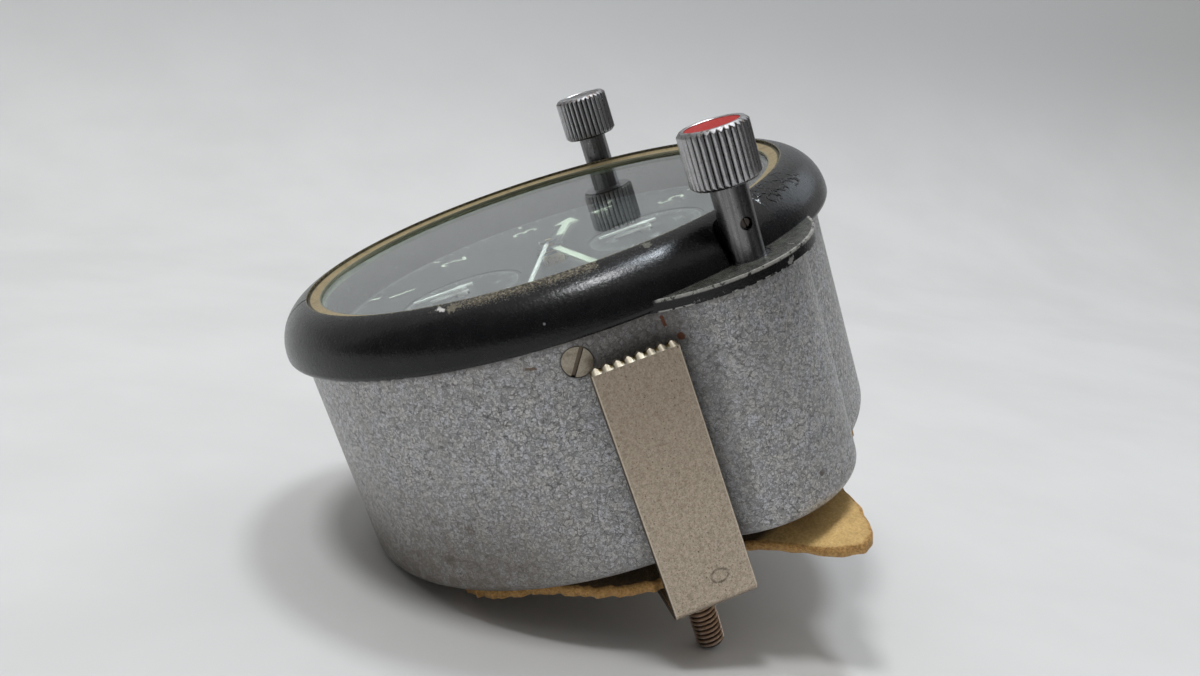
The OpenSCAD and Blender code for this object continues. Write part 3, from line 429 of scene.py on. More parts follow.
scratch_group, (place, scale, amount), way_out = new_group(
    "scratches", dict(Place="Vector", Scale="Float", Amount="Float"), dict(Mask="Float"))
long_way = put(scratch_group, "Mapping",
               {"Vector": place, "Scale": (1.0, 0.06, 0.35), "Rotation": (0.4, 0.3, 0.9)})
lines = cells(long_way, scale, "DISTANCE_TO_EDGE")
shown = (noise(place, 0.35) + amount).ramp(0.72, 0.80)
feed(way_out, Mask=lines.ramp(0.0, 0.025, 1.0, 0.0) * shown)

grime_group, (place, scale, amount), way_out = new_group(
    "grime", dict(Place="Vector", Scale="Float", Amount="Float"), dict(Clouds="Float", Specks="Float"))
feed(way_out, Clouds=(noise(place, scale, 5.0, 0.62) + amount).ramp(0.5, 0.8),
     Specks=(noise(place, scale * 9.0, 2.0) + amount).ramp(0.68, 0.76))

spot_group, (place, at, size, ragged), way_out = new_group(
    "ragged_spot", dict(Place="Vector", At="Vector", Size="Float", Ragged="Float"), dict(Mask="Float"))
far = place.vector("DISTANCE", at, 1) / size + (noise(place, 2.4) - 0.5) * ragged
feed(way_out, Mask=far.ramp(0.75, 1.0, 1.0, 0.0))

stroke_group, (place, start, end, width), way_out = new_group(
    "stroke", dict(Place="Vector", From="Vector", To="Vector", Width="Float"), dict(Mask="Float"))
run, gone = end.vector("SUBTRACT", start), place.vector("SUBTRACT", start)
share = gone.vector("DOT_PRODUCT", run, 1) / run.vector("DOT_PRODUCT", run, 1)
nearest = run.scaled(share.math("MAXIMUM", 0.0).math("MINIMUM", 1.0))
far = (gone.vector("DISTANCE", nearest, 1) + (noise(place, 3.0) - 0.5) * width) / width
feed(way_out, Mask=far.ramp(0.30, 0.55, 1.0, 0.0))


def add_spots(place, colour, spots):
    """Lays ragged spots of (place, size, raggedness, tone, share) over a colour."""
    for at, size, ragged, tone, share in spots:
        spot = use_group(place.tree, spot_group, Place=place, At=at, Size=size, Ragged=ragged)
        colour = tint(spot.mask * share, colour, tone)
    return colour


def add_strokes(place, colour, strokes):
    """Lays strokes of (start, end, width, tone, share) over a colour."""
    for start, end, width, tone, share in strokes:
        stroke = use_group(place.tree, stroke_group, Place=place, From=start, To=end, Width=width)
        colour = tint(stroke.mask * share, colour, tone)
    return colour


def finish(name, **plain):
    """A new material, its Principled shader with the plain values set, and the place on the clock."""
    material = bpy.data.materials.new(name)
    material.use_nodes = True
    shader = material.node_tree.nodes["Principled BSDF"]
    fill(shader, plain)
    return material, shader, use_group(material.node_tree, place_group)


print("groups:", [g.name for g in bpy.data.node_groups])

# %% [markdown]
# ## Case: hammertone paint
# The case is sprayed with grey hammer paint: metal flake floats in rounded cells under a
# millimetre wide, with thin dark creases where the cells meet. Two layers of Voronoi cells give the
# creases, noise breaks them up and adds the flake, and the same cells raise the surface a few
# hundredths. Single marks sit where the real case has them.

# %% Case paint
CASE_R, CASE_SCREW_Z, CASE_SCREW_ANGLES = 40, -3.2, (9, 171, 270)
hammertone, shader, spot = finish("hammertone_paint", Metallic=0.3)
place = spot.millimetres
bent = place.vector("ADD", noise(place, 1.3, 2.0, 0.55, 1).scaled(0.9))
wide_edge = cells(bent, 0.95, "DISTANCE_TO_EDGE")
seam = cells(bent, 3.1, "DISTANCE_TO_EDGE").ramp(0.0, 0.14, 1.0, 0.0)
tone = put(place.tree, "SeparateColor", {0: cells(bent, 3.1, "F1", "Color")})
flake = noise(place, 6.5, 2.0, 0.6)
broken = noise(place, 1.1, 3.0)
curl = (noise(bent, 1.3, 1.5) - 0.5).math("ABSOLUTE")
curls = curl.ramp(0.0, 0.02, 1.0, 0.0) * broken.ramp(0.50, 0.60)
crease = (wide_edge.ramp(0.0, 0.07, 1.0, 0.0) * broken.ramp(0.58, 0.44)).math("MAXIMUM", curls)
level = tone * 0.4 + flake * 0.6
hue = noise(place, 0.6, 2.0).ramp(0.35, 0.65)
cloudy = noise(place, 0.09, 4.0)
# Darker and browner towards the bottom on the 12 o'clock side: partly warm dirt, partly painted shade from
# the floor.
low_side_dirt_and_shade = spot.height.ramp(-14.0, -33.0) * spot.up.ramp(2.0, 28.0)
dirt = use_group(place.tree, grime_group, Place=place, Scale=0.25, Amount=-0.03)
# Painted shade and grime between the bezel and the strap's teeth: darker and warmer there.
shade_and_grime_above_strap = (spot.up.band(-6.5, 5.0, 2.0) * spot.height.band(-4.6, -1.0, 0.9)
               * flake.ramp(0.3, 0.6, 0.6, 1.0))
# Painted shade and grime in a band beside one long edge of each strap.
shade_and_grime_beside_strap = spot.up.band(-9.2, -5.5, 1.6) * cloudy.ramp(0.2, 0.6, 0.6, 1.0)
paint = coats(
    tint(level.ramp(0.30, 0.66), (0.34, 0.335, 0.335), tint(hue, (0.71, 0.71, 0.755), (0.735, 0.715, 0.685))),
    (seam * 0.55, (0.18, 0.176, 0.172)),
    (crease * 0.85, (0.085, 0.08, 0.078)),
    (cloudy.ramp(0.35, 0.7, 0.0, 0.3), (0.40, 0.39, 0.375)),
    (dirt.clouds * 0.30, (0.19, 0.17, 0.145)),
    (low_side_dirt_and_shade * noise(place, 0.5, 4.0).ramp(0.25, 0.6, 0.52, 0.92), (0.165, 0.142, 0.115)),
    # Painted shade under the bezel: a darker band along the top of the case.
    (spot.height.ramp(-1.5, -0.2) * 0.7, (0.12, 0.11, 0.10)),
    (shade_and_grime_above_strap * 0.6, (0.13, 0.11, 0.092)),
    (shade_and_grime_beside_strap * 0.5, (0.13, 0.125, 0.12)))
RUST, BROWN, SCRAPE = (0.15, 0.045, 0.016), (0.10, 0.075, 0.05), (0.13, 0.125, 0.12)
screw_rings = [(tuple(CASE_R * heading(a) + (0, 0, CASE_SCREW_Z)), 2.42, 0.04, (0.03, 0.027, 0.024), 0.95)
               for a in CASE_SCREW_ANGLES]
paint = add_spots(place, paint, screw_rings + [
    ((-41.3, -6.6, -4.1), 0.6, 0.5, RUST, 0.95), ((-41.7, -19.4, -28.2), 0.5, 0.9, BROWN, 0.7),
    ((-26.8, 29.6, -27.7), 1.1, 2.2, BROWN, 0.45), ((-30.7, 25.6, -22.9), 0.8, 2.2, BROWN, 0.45)])
paint = add_strokes(place, paint, [
    ((-40.3, -5.25, -1.2), (-40.35, -5.3, -2.3), 0.55, RUST, 0.95),
    ((-38.1, 12.3, -2.35), (-38.4, 11.3, -2.5), 0.5, (0.16, 0.09, 0.045), 0.8),
    ((-39.1, 8.4, -20.1), (-38.9, 9.0, -22.2), 0.2, SCRAPE, 0.55),
    ((-38.9, 9.2, -21.6), (-38.7, 9.9, -24.3), 0.2, SCRAPE, 0.55),
    ((-42.8, -14.0, -30.2), (-42.7, -14.8, -32.0), 0.3, (0.10, 0.095, 0.09), 0.6)])
marks = use_group(place.tree, scratch_group, Place=place, Scale=0.35, Amount=-0.01)
feed(shader, Base_Color=tint(marks.mask * 0.6, paint, (0.09, 0.085, 0.08)),
     Roughness=level.ramp(0.2, 0.8, 0.52, 0.36))
bump(shader, flake * 0.5 - (crease * 0.9 + seam * 0.4), 0.05, 0.6)
print("case paint nodes:", len(place.tree.nodes))

# %% [markdown]
# ## Bezel: worn black paint
# The bezel is satin black. Its inner lip has worn to an olive dust, mostly towards 10 o'clock. The
# flange tops under the knobs are polished to a greenish grey by fingers, and the flange rims are
# chipped to bright metal. Masks from the place round the axis, and round the ear, put each kind of
# wear where the real one has it.

# %% Bezel paint
EAR_AT = (27.863, -13.590, 0.0)
FLANGE_R = 16.9
black, shader, spot = finish("bezel_black", Specular_IOR_Level=0.36)
place = spot.millimetres
ear = use_group(place.tree, place_group, Centre=EAR_AT)
grit = noise(place, 2.5, 4.0)
lumps = noise(place, 0.45, 3.0)
streaks = noise(place, 4.2, 5.0, 0.72)
lip = spot.radius.ramp(40.0, 37.8) * spot.height.ramp(4.6, 6.4)
worn_arc = spot.turn.band(158.0, 176.0, 20.0)
flecks = lip * (streaks + (worn_arc * (lip * 0.22) + lumps * 0.12)).ramp(0.70, 0.80)
bore_wall = spot.radius.ramp(37.12, 37.0) * spot.height.ramp(6.0, 6.4)
off_body = spot.radius.ramp(42.3, 42.6)
flat_top = off_body * spot.height.ramp(1.3, 1.55)
on_flange = spot.height.ramp(2.2, 1.8)
rim = (on_flange * off_body * ear.radius.ramp(FLANGE_R - 0.45, FLANGE_R - 0.2)
       * spot.height.ramp(1.15, 1.4))
side_chips = on_flange * off_body * noise(place, 0.6, 5.0, 0.7).ramp(0.63, 0.66)
foot_line = off_body * spot.height.ramp(0.24, 0.10) * noise(place, 0.7, 4.0, 0.65).ramp(0.49, 0.54)
olive = tint(grit.ramp(0.35, 0.65), (0.07, 0.058, 0.038), (0.30, 0.26, 0.18))
bore_tone = tint(grit.ramp(0.4, 0.6), (0.05, 0.042, 0.024), (0.16, 0.135, 0.075))
worn_top = tint(noise(place, 0.9, 5.0, 0.65).ramp(0.32, 0.62), (0.042, 0.043, 0.038), (0.10, 0.102, 0.088))
bare_metal = tint(grit, (0.20, 0.195, 0.18), (0.62, 0.60, 0.56))
paint = coats(
    tint(lumps.ramp(0.3, 0.75), (0.0045, 0.0045, 0.0053), (0.009, 0.0085, 0.0094)),
    (noise(place, 5.5, 2.0).ramp(0.66, 0.76) * 0.4, (0.04, 0.038, 0.036)),
    (flecks * 0.85, olive),
    (bore_wall * 0.9, bore_tone),
    (flat_top * 0.92, worn_top),
    (rim * noise(place, 0.85, 5.0, 0.7).ramp(0.40, 0.47), bare_metal),
    (side_chips * 0.8, (0.30, 0.29, 0.27)),
    (foot_line * 0.9, (0.50, 0.49, 0.46)))
CHIP = (0.70, 0.68, 0.65)
paint = add_spots(place, paint, [
    ((-37.2, -6.6, 7.2), 0.7, 2.6, (0.15, 0.15, 0.12), 0.85),
    ((-33.6, 18.2, 7.2), 0.9, 2.4, (0.20, 0.18, 0.13), 0.8),
    ((-41.0, 8.8, 3.2), 0.22, 0.6, (0.30, 0.29, 0.31), 0.7)])
paint = add_strokes(place, paint, [
    ((-33.0, 19.2, 6.7), (-32.7, 19.5, 7.2), 0.75, CHIP, 0.95),
    ((-32.7, 19.5, 7.2), (-32.2, 19.8, 7.25), 0.75, CHIP, 0.95)])
wrinkled = (spot.turn.band(-141.0, -127.0, 3.0) * spot.height.ramp(5.0, 5.8)
            * noise(place, 0.16).ramp(0.42, 0.5))
ridge = (noise(place, 0.36, 2.0) - 0.5).math("ABSOLUTE").ramp(0.0, 0.04, 1.0, 0.0) * wrinkled
feed(shader, Base_Color=paint, Roughness=grit.ramp(0.3, 0.75, 0.19, 0.30))
bump(shader, (grit * 0.5 + lumps * 0.3) + (ridge * 7.0 + flecks * 0.5), 0.09, 0.7)
print("bezel paint nodes:", len(place.tree.nodes))

# %% [markdown]
# ## Metals
# The straps are satin nickel gone warm with age, the knobs are a cooler plated metal with dirt and
# painted shade in their grooves, the screws are browned steel, and the ring round the glass is brass that has
# tarnished. They share one recipe: a metal colour, fine grain, clouds of tarnish and specks.

# %% Metal recipe
def metal(name, clean, tarnish, rough=(0.3, 0.5), scale=0.5, amount=0.0, grain=5.0):
    """Metal that goes from a clean to a tarnished colour in clouds and specks, with a fine grain."""
    material, shader, spot = finish(name, Metallic=1.0)
    place = spot.millimetres
    dirt = use_group(place.tree, grime_group, Place=place, Scale=scale, Amount=amount)
    fine = noise(place, grain, 3.0)
    colour = coats(tint(dirt.clouds * 0.7, clean, tarnish), (dirt.specks * 0.6, tarnish),
                   (fine.ramp(0.35, 0.7, 0.0, 0.35), tarnish))
    feed(shader, Base_Color=colour, Roughness=fine.ramp(0.25, 0.75, *rough))
    bump(shader, fine, 0.01, 0.5)
    return material, shader, spot, colour


browned = metal("browned_steel", (0.20, 0.17, 0.15), (0.075, 0.06, 0.05), (0.33, 0.5), 0.9, 0.05)[0]
polished = metal("movement_steel", (0.58, 0.58, 0.6), (0.40, 0.39, 0.38), (0.18, 0.32), 0.3, -0.1)[0]
blued = metal("spring_blue", (0.12, 0.16, 0.32), (0.07, 0.08, 0.14), (0.2, 0.3), 0.3, 0.0)[0]
gilt = metal("movement_brass", (0.72, 0.56, 0.27), (0.50, 0.38, 0.18), (0.24, 0.4), 0.2, -0.05, 3.0)[0]
screw_nickel, shader, spot, colour = metal(
    "screw_nickel", (0.44, 0.385, 0.31), (0.17, 0.14, 0.10), (0.34, 0.5), 0.9, 0.05)
# Painted shade in the case screws' slots: near black on the walls, less dark on the floor.
slot_shade = tint(spot.radius.ramp(39.62, 39.54), (0.012, 0.010, 0.008), (0.16, 0.13, 0.10))
feed(shader, Base_Color=tint(spot.radius.ramp(39.92, 39.86), colour, slot_shade))

CLAMP_SCREW_AT = (35.0, 0.0, 0.0)
thread_steel, shader, spot, colour = metal(
    "thread_steel", (0.72, 0.55, 0.44), (0.34, 0.24, 0.175), (0.28, 0.42), 0.9, 0.02)
own = use_group(colour.tree, place_group, Centre=CLAMP_SCREW_AT)
# Painted shade in the roots of the thread, against the lighter crests.
feed(shader, Base_Color=tint(own.radius.ramp(1.90, 1.66) * 0.9, colour, (0.045, 0.03, 0.02)))
print("metals so far:", [m.name for m in (browned, polished, blued, gilt, screw_nickel, thread_steel)])

# %% [markdown]
# The straps add to this recipe a painted highlight on the teeth at their ends with painted shade in the
# valleys between them, a painted highlight line along each long edge with painted shade on the narrow sides,
# and a plain oval mark pressed in near the bend. The ring round the glass is dark outside, pale
# gold on its flat and green at the inner edge.

# %% Straps and glass ring
STRAP_MM, TOOTH_COUNT = 11.6, 8
STRAP_LEAN, STRAP_FOOT, STRAP_MIDDLE = 0.025, -39.8, -1.0
MARK_BELOW_NINE, MARK_BEHIND_BEZEL, MARK_HALF_W, MARK_HALF_H = 2.34, 35.74, 1.25, 1.0
nickel, shader, spot, colour = metal(
    "strap_nickel", (0.59, 0.50, 0.40), (0.29, 0.23, 0.16), (0.36, 0.5), 1.1, -0.03, 3.0)
place = spot.millimetres
mottle = noise(place, 1.6, 4.0, 0.65)
pits = noise(place, 4.6, 3.0, 0.6)
leaned = spot.up - (spot.height - STRAP_FOOT) * STRAP_LEAN
off_middle = (leaned - STRAP_MIDDLE).math("ABSOLUTE")
across = (spot.up + MARK_BELOW_NINE) / MARK_HALF_W
down = (spot.height + MARK_BEHIND_BEZEL) / MARK_HALF_H
oval = (across ** 2.0 + down ** 2.0).math("SQRT")
pressed = oval.band(0.86, 1.0, 0.12) * mottle.ramp(0.35, 0.6, 0.45, 1.0)
# Painted highlight: the teeth get a lighter, even tone; painted shade darkens the flanks in the valleys
# between them.
on_teeth = spot.height.ramp(-4.52, -4.44)
valley = ((leaned + (STRAP_MM / 2 - STRAP_MIDDLE)) / (STRAP_MM / TOOTH_COUNT)).math("PINGPONG", 0.5)
in_valley = valley.ramp(0.26, 0.10) * spot.height.ramp(-4.42, -4.2)
colour = coats(
    colour,
    (mottle.ramp(0.40, 0.72, 0.0, 0.55), (0.29, 0.23, 0.165)),
    (pits.ramp(0.54, 0.68, 0.0, 0.6), (0.15, 0.11, 0.075)),
    (pits.ramp(0.46, 0.32, 0.0, 0.35), (0.80, 0.70, 0.58)),
    (spot.height.ramp(-30.0, -8.0, 0.0, 0.35), (0.31, 0.24, 0.18)),
    (noise(place, 2.3, 2.0).ramp(0.64, 0.74) * 0.75, (0.085, 0.062, 0.04)),
    # Painted highlight along a line just inside each long edge, and painted shade on the narrow sides.
    (off_middle.band(5.58, 5.68, 0.06) * 0.5, (0.80, 0.72, 0.60)),
    (off_middle.ramp(5.71, 5.76) * 0.8, (0.07, 0.05, 0.033)),
    (pressed * 0.65, (0.085, 0.07, 0.052)),
    (on_teeth * mottle.ramp(0.25, 0.45, 0.75, 1.0), tint(in_valley, (0.46, 0.41, 0.32), (0.15, 0.105, 0.04))))
feed(shader, Base_Color=colour)
bump(shader, mottle * 0.3 - pressed, 0.06, 0.6)

tarnished, shader, spot, colour = metal(
    "ring_brass", (0.62, 0.49, 0.27), (0.26, 0.19, 0.09), (0.34, 0.5), 0.6, 0.02)
feed(shader, Base_Color=coats(colour, (spot.radius.ramp(36.35, 36.55) * 0.9, (0.055, 0.048, 0.028)),
                              (spot.radius.ramp(35.20, 35.08) * 0.8, (0.33, 0.34, 0.26))))
print("strap nodes:", len(nickel.node_tree.nodes), "ring nodes:", len(tarnished.node_tree.nodes))

# %% [markdown]
# A knob keeps its plain metal along its ridges; its grooves carry painted shade and some dirt from fingers,
# and one side of its head carries painted shade. How far a point lies from the knob's own axis tells a ridge
# from a groove. The shank below is bare grey steel with upright light and dark bands painted on as
# reflections.

# %% Knob plate
KNOB_AXIS = (37.7493, -18.4116, 0.0)
PLATE_ROUGH = (0.25, 0.40)
knob_plate, shader, spot, colour = metal(
    "knob_plate", (0.50, 0.495, 0.505), (0.25, 0.24, 0.245), PLATE_ROUGH, 0.9, -0.02)
place = spot.millimetres
own = use_group(place.tree, place_group, Centre=KNOB_AXIS)
head = own.height.ramp(11.3, 11.5) * own.height.ramp(18.55, 18.35)
groove = own.radius.band(4.10, 4.31, 0.10) * head
# Painted shade on one side of the knob's head.
painted_shade_side = own.turn.band(-125.0, -38.0, 28.0) * head
grimy = groove * noise(place, 1.3, 3.0).ramp(0.55, 0.7)
rim = own.height.ramp(18.2, 18.4) * own.radius.ramp(3.6, 3.7)
rim_dirt = rim * noise(place, 1.5, 3.0).ramp(0.50, 0.62)
# Painted reflections: upright light and dark bands on the shank.
upright = put(place.tree, "Mapping", {"Vector": place, "Scale": (1.0, 1.0, 0.03)})
reflection_bands = noise(upright, 0.75, 3.0, 0.6)
steel = coats(tint(reflection_bands.ramp(0.3, 0.7), (0.09, 0.086, 0.088), (0.36, 0.355, 0.36)),
              (noise(place, 1.7, 2.0).ramp(0.68, 0.73), (0.05, 0.045, 0.042)))
colour = coats(
    colour,
    # Painted shade in the grooves.
    (groove * 0.85, (0.045, 0.040, 0.040)),
    (painted_shade_side * 0.55, (0.10, 0.085, 0.085)),
    (grimy * 0.7, (0.05, 0.03, 0.018)),
    (rim * 0.55, (0.24, 0.235, 0.23)),
    (rim_dirt * 0.8, (0.10, 0.065, 0.04)),
    (own.height.ramp(11.35, 11.2), steel),
    # Painted light: the floor of the disc recess is much lighter than the plain metal, against its shade.
    (own.radius.ramp(3.62, 3.5) * own.height.ramp(18.0, 18.2), (0.74, 0.73, 0.72)))
plain_rough = noise(place, 5.0, 3.0).ramp(0.25, 0.75, *PLATE_ROUGH)
feed(shader, Base_Color=colour, Roughness=rim.math("MULTIPLY_ADD", 0.22, plain_rough))
print("knob nodes:", len(place.tree.nodes))

# %% [markdown]
# ## Paints, glass, rubber and leather
# The left knob carries a red enamel disc. The dial is matt black under a plain glass, which is
# clear to shadow rays so that light reaches the dial. The hands are dark at the hub and filled with
# chalky luminous paint further out, from a radius that is each hand's own.

# %% Enamel, dial, hands
red, shader, spot = finish("red_enamel", Specular_IOR_Level=0.08)
place = spot.millimetres
dirt = use_group(place.tree, grime_group, Place=place, Scale=0.9, Amount=0.0)
colour = coats(tint(dirt.clouds * 0.45, (0.42, 0.032, 0.028), (0.29, 0.022, 0.02)),
               (dirt.specks * 0.7, (0.12, 0.02, 0.02)))
feed(shader, Base_Color=colour, Roughness=noise(place, 3.0).ramp(0.3, 0.7, 0.42, 0.62))
bump(shader, noise(place, 2.2), 0.03, 0.5)

dial_black, shader, spot = finish("dial_black")
dust = noise(spot.millimetres, 4.0, 3.0)
feed(shader, Base_Color=tint(dust.ramp(0.4, 0.8), (0.010, 0.011, 0.012), (0.022, 0.023, 0.024)),
     Roughness=dust.ramp(0.3, 0.7, 0.6, 0.8))
bump(shader, dust, 0.01, 0.4)

BARE_HUB = (0.02, 0.02, 0.021)
LUME = (0.37, 0.42, 0.32), (0.56, 0.60, 0.49)
WHITE = (0.50, 0.51, 0.48), (0.70, 0.71, 0.68)
SECONDS_TAIL = (0.951, -0.309, 0.0)


def painted(name, low, high, dark_to=None, tail=None):
    """Chalky paint between two tones; inside the radius dark_to, and on the tail, bare dark metal shows."""
    material, shader, spot = finish(name)
    chalk = noise(spot.millimetres, 3.5, 4.0)
    colour = tint(chalk.ramp(0.3, 0.75), low, high)
    if dark_to:
        colour = tint(spot.radius.ramp(dark_to, dark_to - 0.15), colour, BARE_HUB)
    if tail:
        behind = spot.millimetres.vector("DOT_PRODUCT", tail, 1)
        colour = tint(behind.ramp(0.0, 0.3), colour, BARE_HUB)
    feed(shader, Base_Color=colour, Roughness=chalk.ramp(0.3, 0.7, 0.65, 0.85))
    bump(shader, chalk, 0.02, 0.6)
    return material


hour_lume = painted("hour_lume", *LUME, 8.5)
minute_lume = painted("minute_lume", *LUME, 3.2)
hand_white = painted("hand_white", *WHITE)
seconds_white = painted("seconds_white", *WHITE, 2.4, SECONDS_TAIL)
figure_lume = painted("figure_lume", (0.42, 0.46, 0.36), (0.66, 0.70, 0.58))
track_print = painted("track_print", (0.24, 0.25, 0.24), (0.42, 0.43, 0.41))
print("chalky paints:", [m.name for m in bpy.data.materials if m.name.endswith(("lume", "white", "print"))])

# %% [markdown]
# The gasket's rubber has a grey-green bloom. The suede carries painted shade under the case and is paler at
# its cut edge, which an attribute of the pad's mesh marks. The floor darkens where it sweeps up.

# %% Rubber, glass, suede, floor
rubber, shader, spot = finish("gasket_rubber")
bloom = noise(spot.millimetres, 1.2, 4.0)
feed(shader, Base_Color=tint(bloom.ramp(0.3, 0.75), (0.05, 0.075, 0.045), (0.17, 0.22, 0.14)),
     Roughness=bloom.ramp(0.3, 0.7, 0.5, 0.75))
bump(shader, bloom, 0.02, 0.5)

clear_glass, shader, spot = finish("clear_glass", Transmission_Weight=1.0, IOR=1.5)
smear = noise(spot.millimetres, 0.25, 5.0, 0.65)
feed(shader, Base_Color=tint(smear.ramp(0.3, 0.8), (0.90, 0.95, 0.92), (0.96, 0.98, 0.97)),
     Roughness=smear.ramp(0.45, 0.8, 0.0, 0.06))
clear_where(shader, put(smear.tree, "LightPath", out="Is Shadow Ray"), (0.88, 0.92, 0.9))

suede, shader, spot = finish("suede", Sheen_Weight=0.25, Sheen_Roughness=0.5, Sheen_Tint=(0.95, 0.78, 0.5))
nap = noise(spot.millimetres, 2.6, 5.0, 0.7)
patch = noise(spot.millimetres, 0.13, 4.0)
edge_share = put(nap.tree, "Attribute", out="Fac", attribute_name="edge_share")
colour = coats(
    tint(nap.ramp(0.3, 0.75), (0.60, 0.37, 0.125), (0.88, 0.62, 0.26)),
    (patch.ramp(0.45, 0.75, 0.0, 0.5), (0.33, 0.19, 0.065)),
    # Painted shade on the suede under the case.
    (spot.radius.ramp(39.4, 37.6) * nap.ramp(0.2, 0.6, 0.75, 1.0) * 0.95, (0.035, 0.018, 0.008)),
    (edge_share.ramp(0.984, 0.994), tint(nap.ramp(0.3, 0.7), (0.36, 0.17, 0.045), (0.74, 0.44, 0.15))))
feed(shader, Base_Color=colour, Roughness=nap.ramp(0.3, 0.7, 0.75, 0.95))
bump(shader, nap + patch, 0.25, 0.8)

pale, shader, spot = finish("pale_floor", Roughness=0.6)
place = spot.millimetres
paper = tint(noise(place, 0.02, 4.0).ramp(0.3, 0.7), (0.72, 0.715, 0.705), (0.77, 0.765, 0.755))
above = place.vector("DOT_PRODUCT", tuple(floor_up), 1) - FLOOR_DEPTH / MM
feed(shader, Base_Color=tint(above.ramp(0.0, 130.0), paper, (0.48, 0.478, 0.475)))
clear_where(shader, put(place.tree, "NewGeometry", out="Backfacing"), (1.0, 1.0, 1.0))
floor_mesh.materials.append(pale)
card_mesh.materials.append(finish("card_black", Roughness=0.9, Base_Color=(0.12, 0.12, 0.12))[0])
print("materials:", len(bpy.data.materials))

# %% [markdown]
# Every CAD node gets a finish. Those that stand out have one of their own; of the rest, the wheels
# and plates are brass, hands are white, knobs are plated and the small screws are browned. What
# remains is polished steel.

# %% Finishes on the CAD nodes
FINISH = {
    "case_cup": hammertone, "bezel": black, "glass_ring": tarnished, "glass": clear_glass,
    "glass_gasket": rubber, "dial": dial_black, "left_knob_disc": red, "hour_hand": hour_lume,
    "minute_hand": minute_lume, "seconds_hand": seconds_white, "left_clamp": nickel,
    "right_clamp": nickel, "hairspring": blued, "mainspring": blued, "case_screws": screw_nickel,
}
BRASS_NODES = ("left_push_arm right_push_arm front_plate rear_plate plate_pillars centre_wheel third_wheel "
               "fourth_wheel balance_wheel barrel_drum minute_wheel hour_wheel").split()
for name, node in NODE.items():
    if name in FINISH:
        chosen = FINISH[name]
    elif name in BRASS_NODES:
        chosen = gilt
    elif name.endswith("_hand"):
        chosen = hand_white
    elif "knob" in name:
        chosen = knob_plate
    elif "screw" in name and name.split("_")[0] in SIDES:
        chosen = browned
    else:
        chosen = polished
    node.data.materials.clear()
    node.data.materials.append(chosen)
print("finishes set on", len(NODE), "nodes")

# %% [markdown]
# ## Threaded clamp screws
# A thread is a height field round a cylinder: the radius depends on how far a point is along the
# helix. One grid of angle by height carries it, and the ends close with a cone and a slotted face.

# %% Slotted faces and threads
def slotted_face(radius, slot_w, slot_d, depth, bevel, steps=20):
    """A round screw head seen from above, as a grid of chords: each row is a chord at one y, and rows on
    both sides of the slot repeat at two heights, which gives upright slot walls. The chord's ends run
    over the bevel and down the rim to the head's underside, where both ends meet in the middle."""
    half = slot_w / 2
    side = radius * np.sin(np.linspace(np.pi / 2, math.asin(half / radius), steps))
    y = np.concatenate([-side, [-half, half], side[::-1]])
    z = np.concatenate([np.zeros(steps), [-slot_d, -slot_d], np.zeros(steps)])
    chord = np.sqrt(np.maximum(radius ** 2 - y ** 2, 0))
    inner = 1 - bevel / radius
    share = np.concatenate([[0, 1, 1], np.linspace(1, -1, 9) * inner, [-1, -1, 0]])
    low = np.concatenate([[1, 1, 0], np.zeros(9), [0, 1, 1]])
    edge = np.concatenate([[0, 0, 1], np.zeros(9), [1, 0, 0]])
    x = chord[:, None] * share
    height = np.where(low > 0, -depth, z[:, None] - edge * bevel)
    return np.stack([x, np.broadcast_to(y[:, None], x.shape), height], -1)


def aim(points, origin, out, up):
    """Turns points so that local z points along out and local y as near as possible along up."""
    out = np.array(out, float) / np.linalg.norm(out)
    side = np.cross(up, out)
    side /= np.linalg.norm(side)
    return points @ np.stack([side, np.cross(out, side), out]) + np.array(origin)


def upright_head(head, origin, out, slot_up):
    """A slotted head turned by a quarter, so that its slot runs along slot_up."""
    return skin(aim(head[:, :, [1, 0, 2]] * (1, -1, 1), origin, out, slot_up))


def thread_grid(radius, pitch, depth, z_low, z_high, centre, per_turn=36, per_pitch=10):
    """Radius = outer radius minus depth times a rounded V in the fraction of (z / pitch - turn)."""
    z = np.linspace(z_low, z_high, max(4, int((z_high - z_low) / pitch * per_pitch)))[:, None]
    turn = full_turn(per_turn)
    wave = np.abs(((z / pitch - turn / (2 * np.pi)) % 1) * 2 - 1)
    r = radius - depth * np.clip(wave * 1.25 - 0.12, 0, 1)
    ends = np.minimum(1, np.minimum(z - z_low, z_high - z) / (0.5 * pitch))
    return round_axis(r - (1 - ends) * 0.25 * depth, z, turn, centre)


THREAD_PITCH, THREAD_DEPTH = 0.7 * MM, 0.42 * MM
SCREW_R, SCREW_BEVEL, COLLAR_T = 2.0 * MM, 0.5 * MM, 1.2 * MM
TIP_SLOT = dict(slot_w=0.8 * MM, slot_d=1.0 * MM, depth=SCREW_BEVEL, bevel=0.05 * MM)
for side in SIDES:
    low, high, axis = box_and_axis(f"{side}_clamp_screw")
    tip, top, tip_r = low[2], high[2], SCREW_R - SCREW_BEVEL
    thread = thread_grid(SCREW_R, THREAD_PITCH, THREAD_DEPTH, tip + SCREW_BEVEL, top - COLLAR_T, axis)
    cap = aim(slotted_face(tip_r, **TIP_SLOT), (*axis, tip), (0, 0, -1), (0, 1, 0))
    cone = revolve([(tip_r, tip + 0.02 * MM), (SCREW_R - 0.15 * MM, tip + SCREW_BEVEL)], full_turn(36), axis)
    collar = rod((high[0] - low[0]) / 2, top, top - COLLAR_T, 48, axis)
    mesh = mesh_of("thread", skin(thread, True), skin(cap), skin(cone, True), skin(collar, True))
    place_piece(f"{side}_clamp_screw_thread", mesh, thread_steel, f"{side}_screw",
                [f"{side}_clamp_screw"], 50)

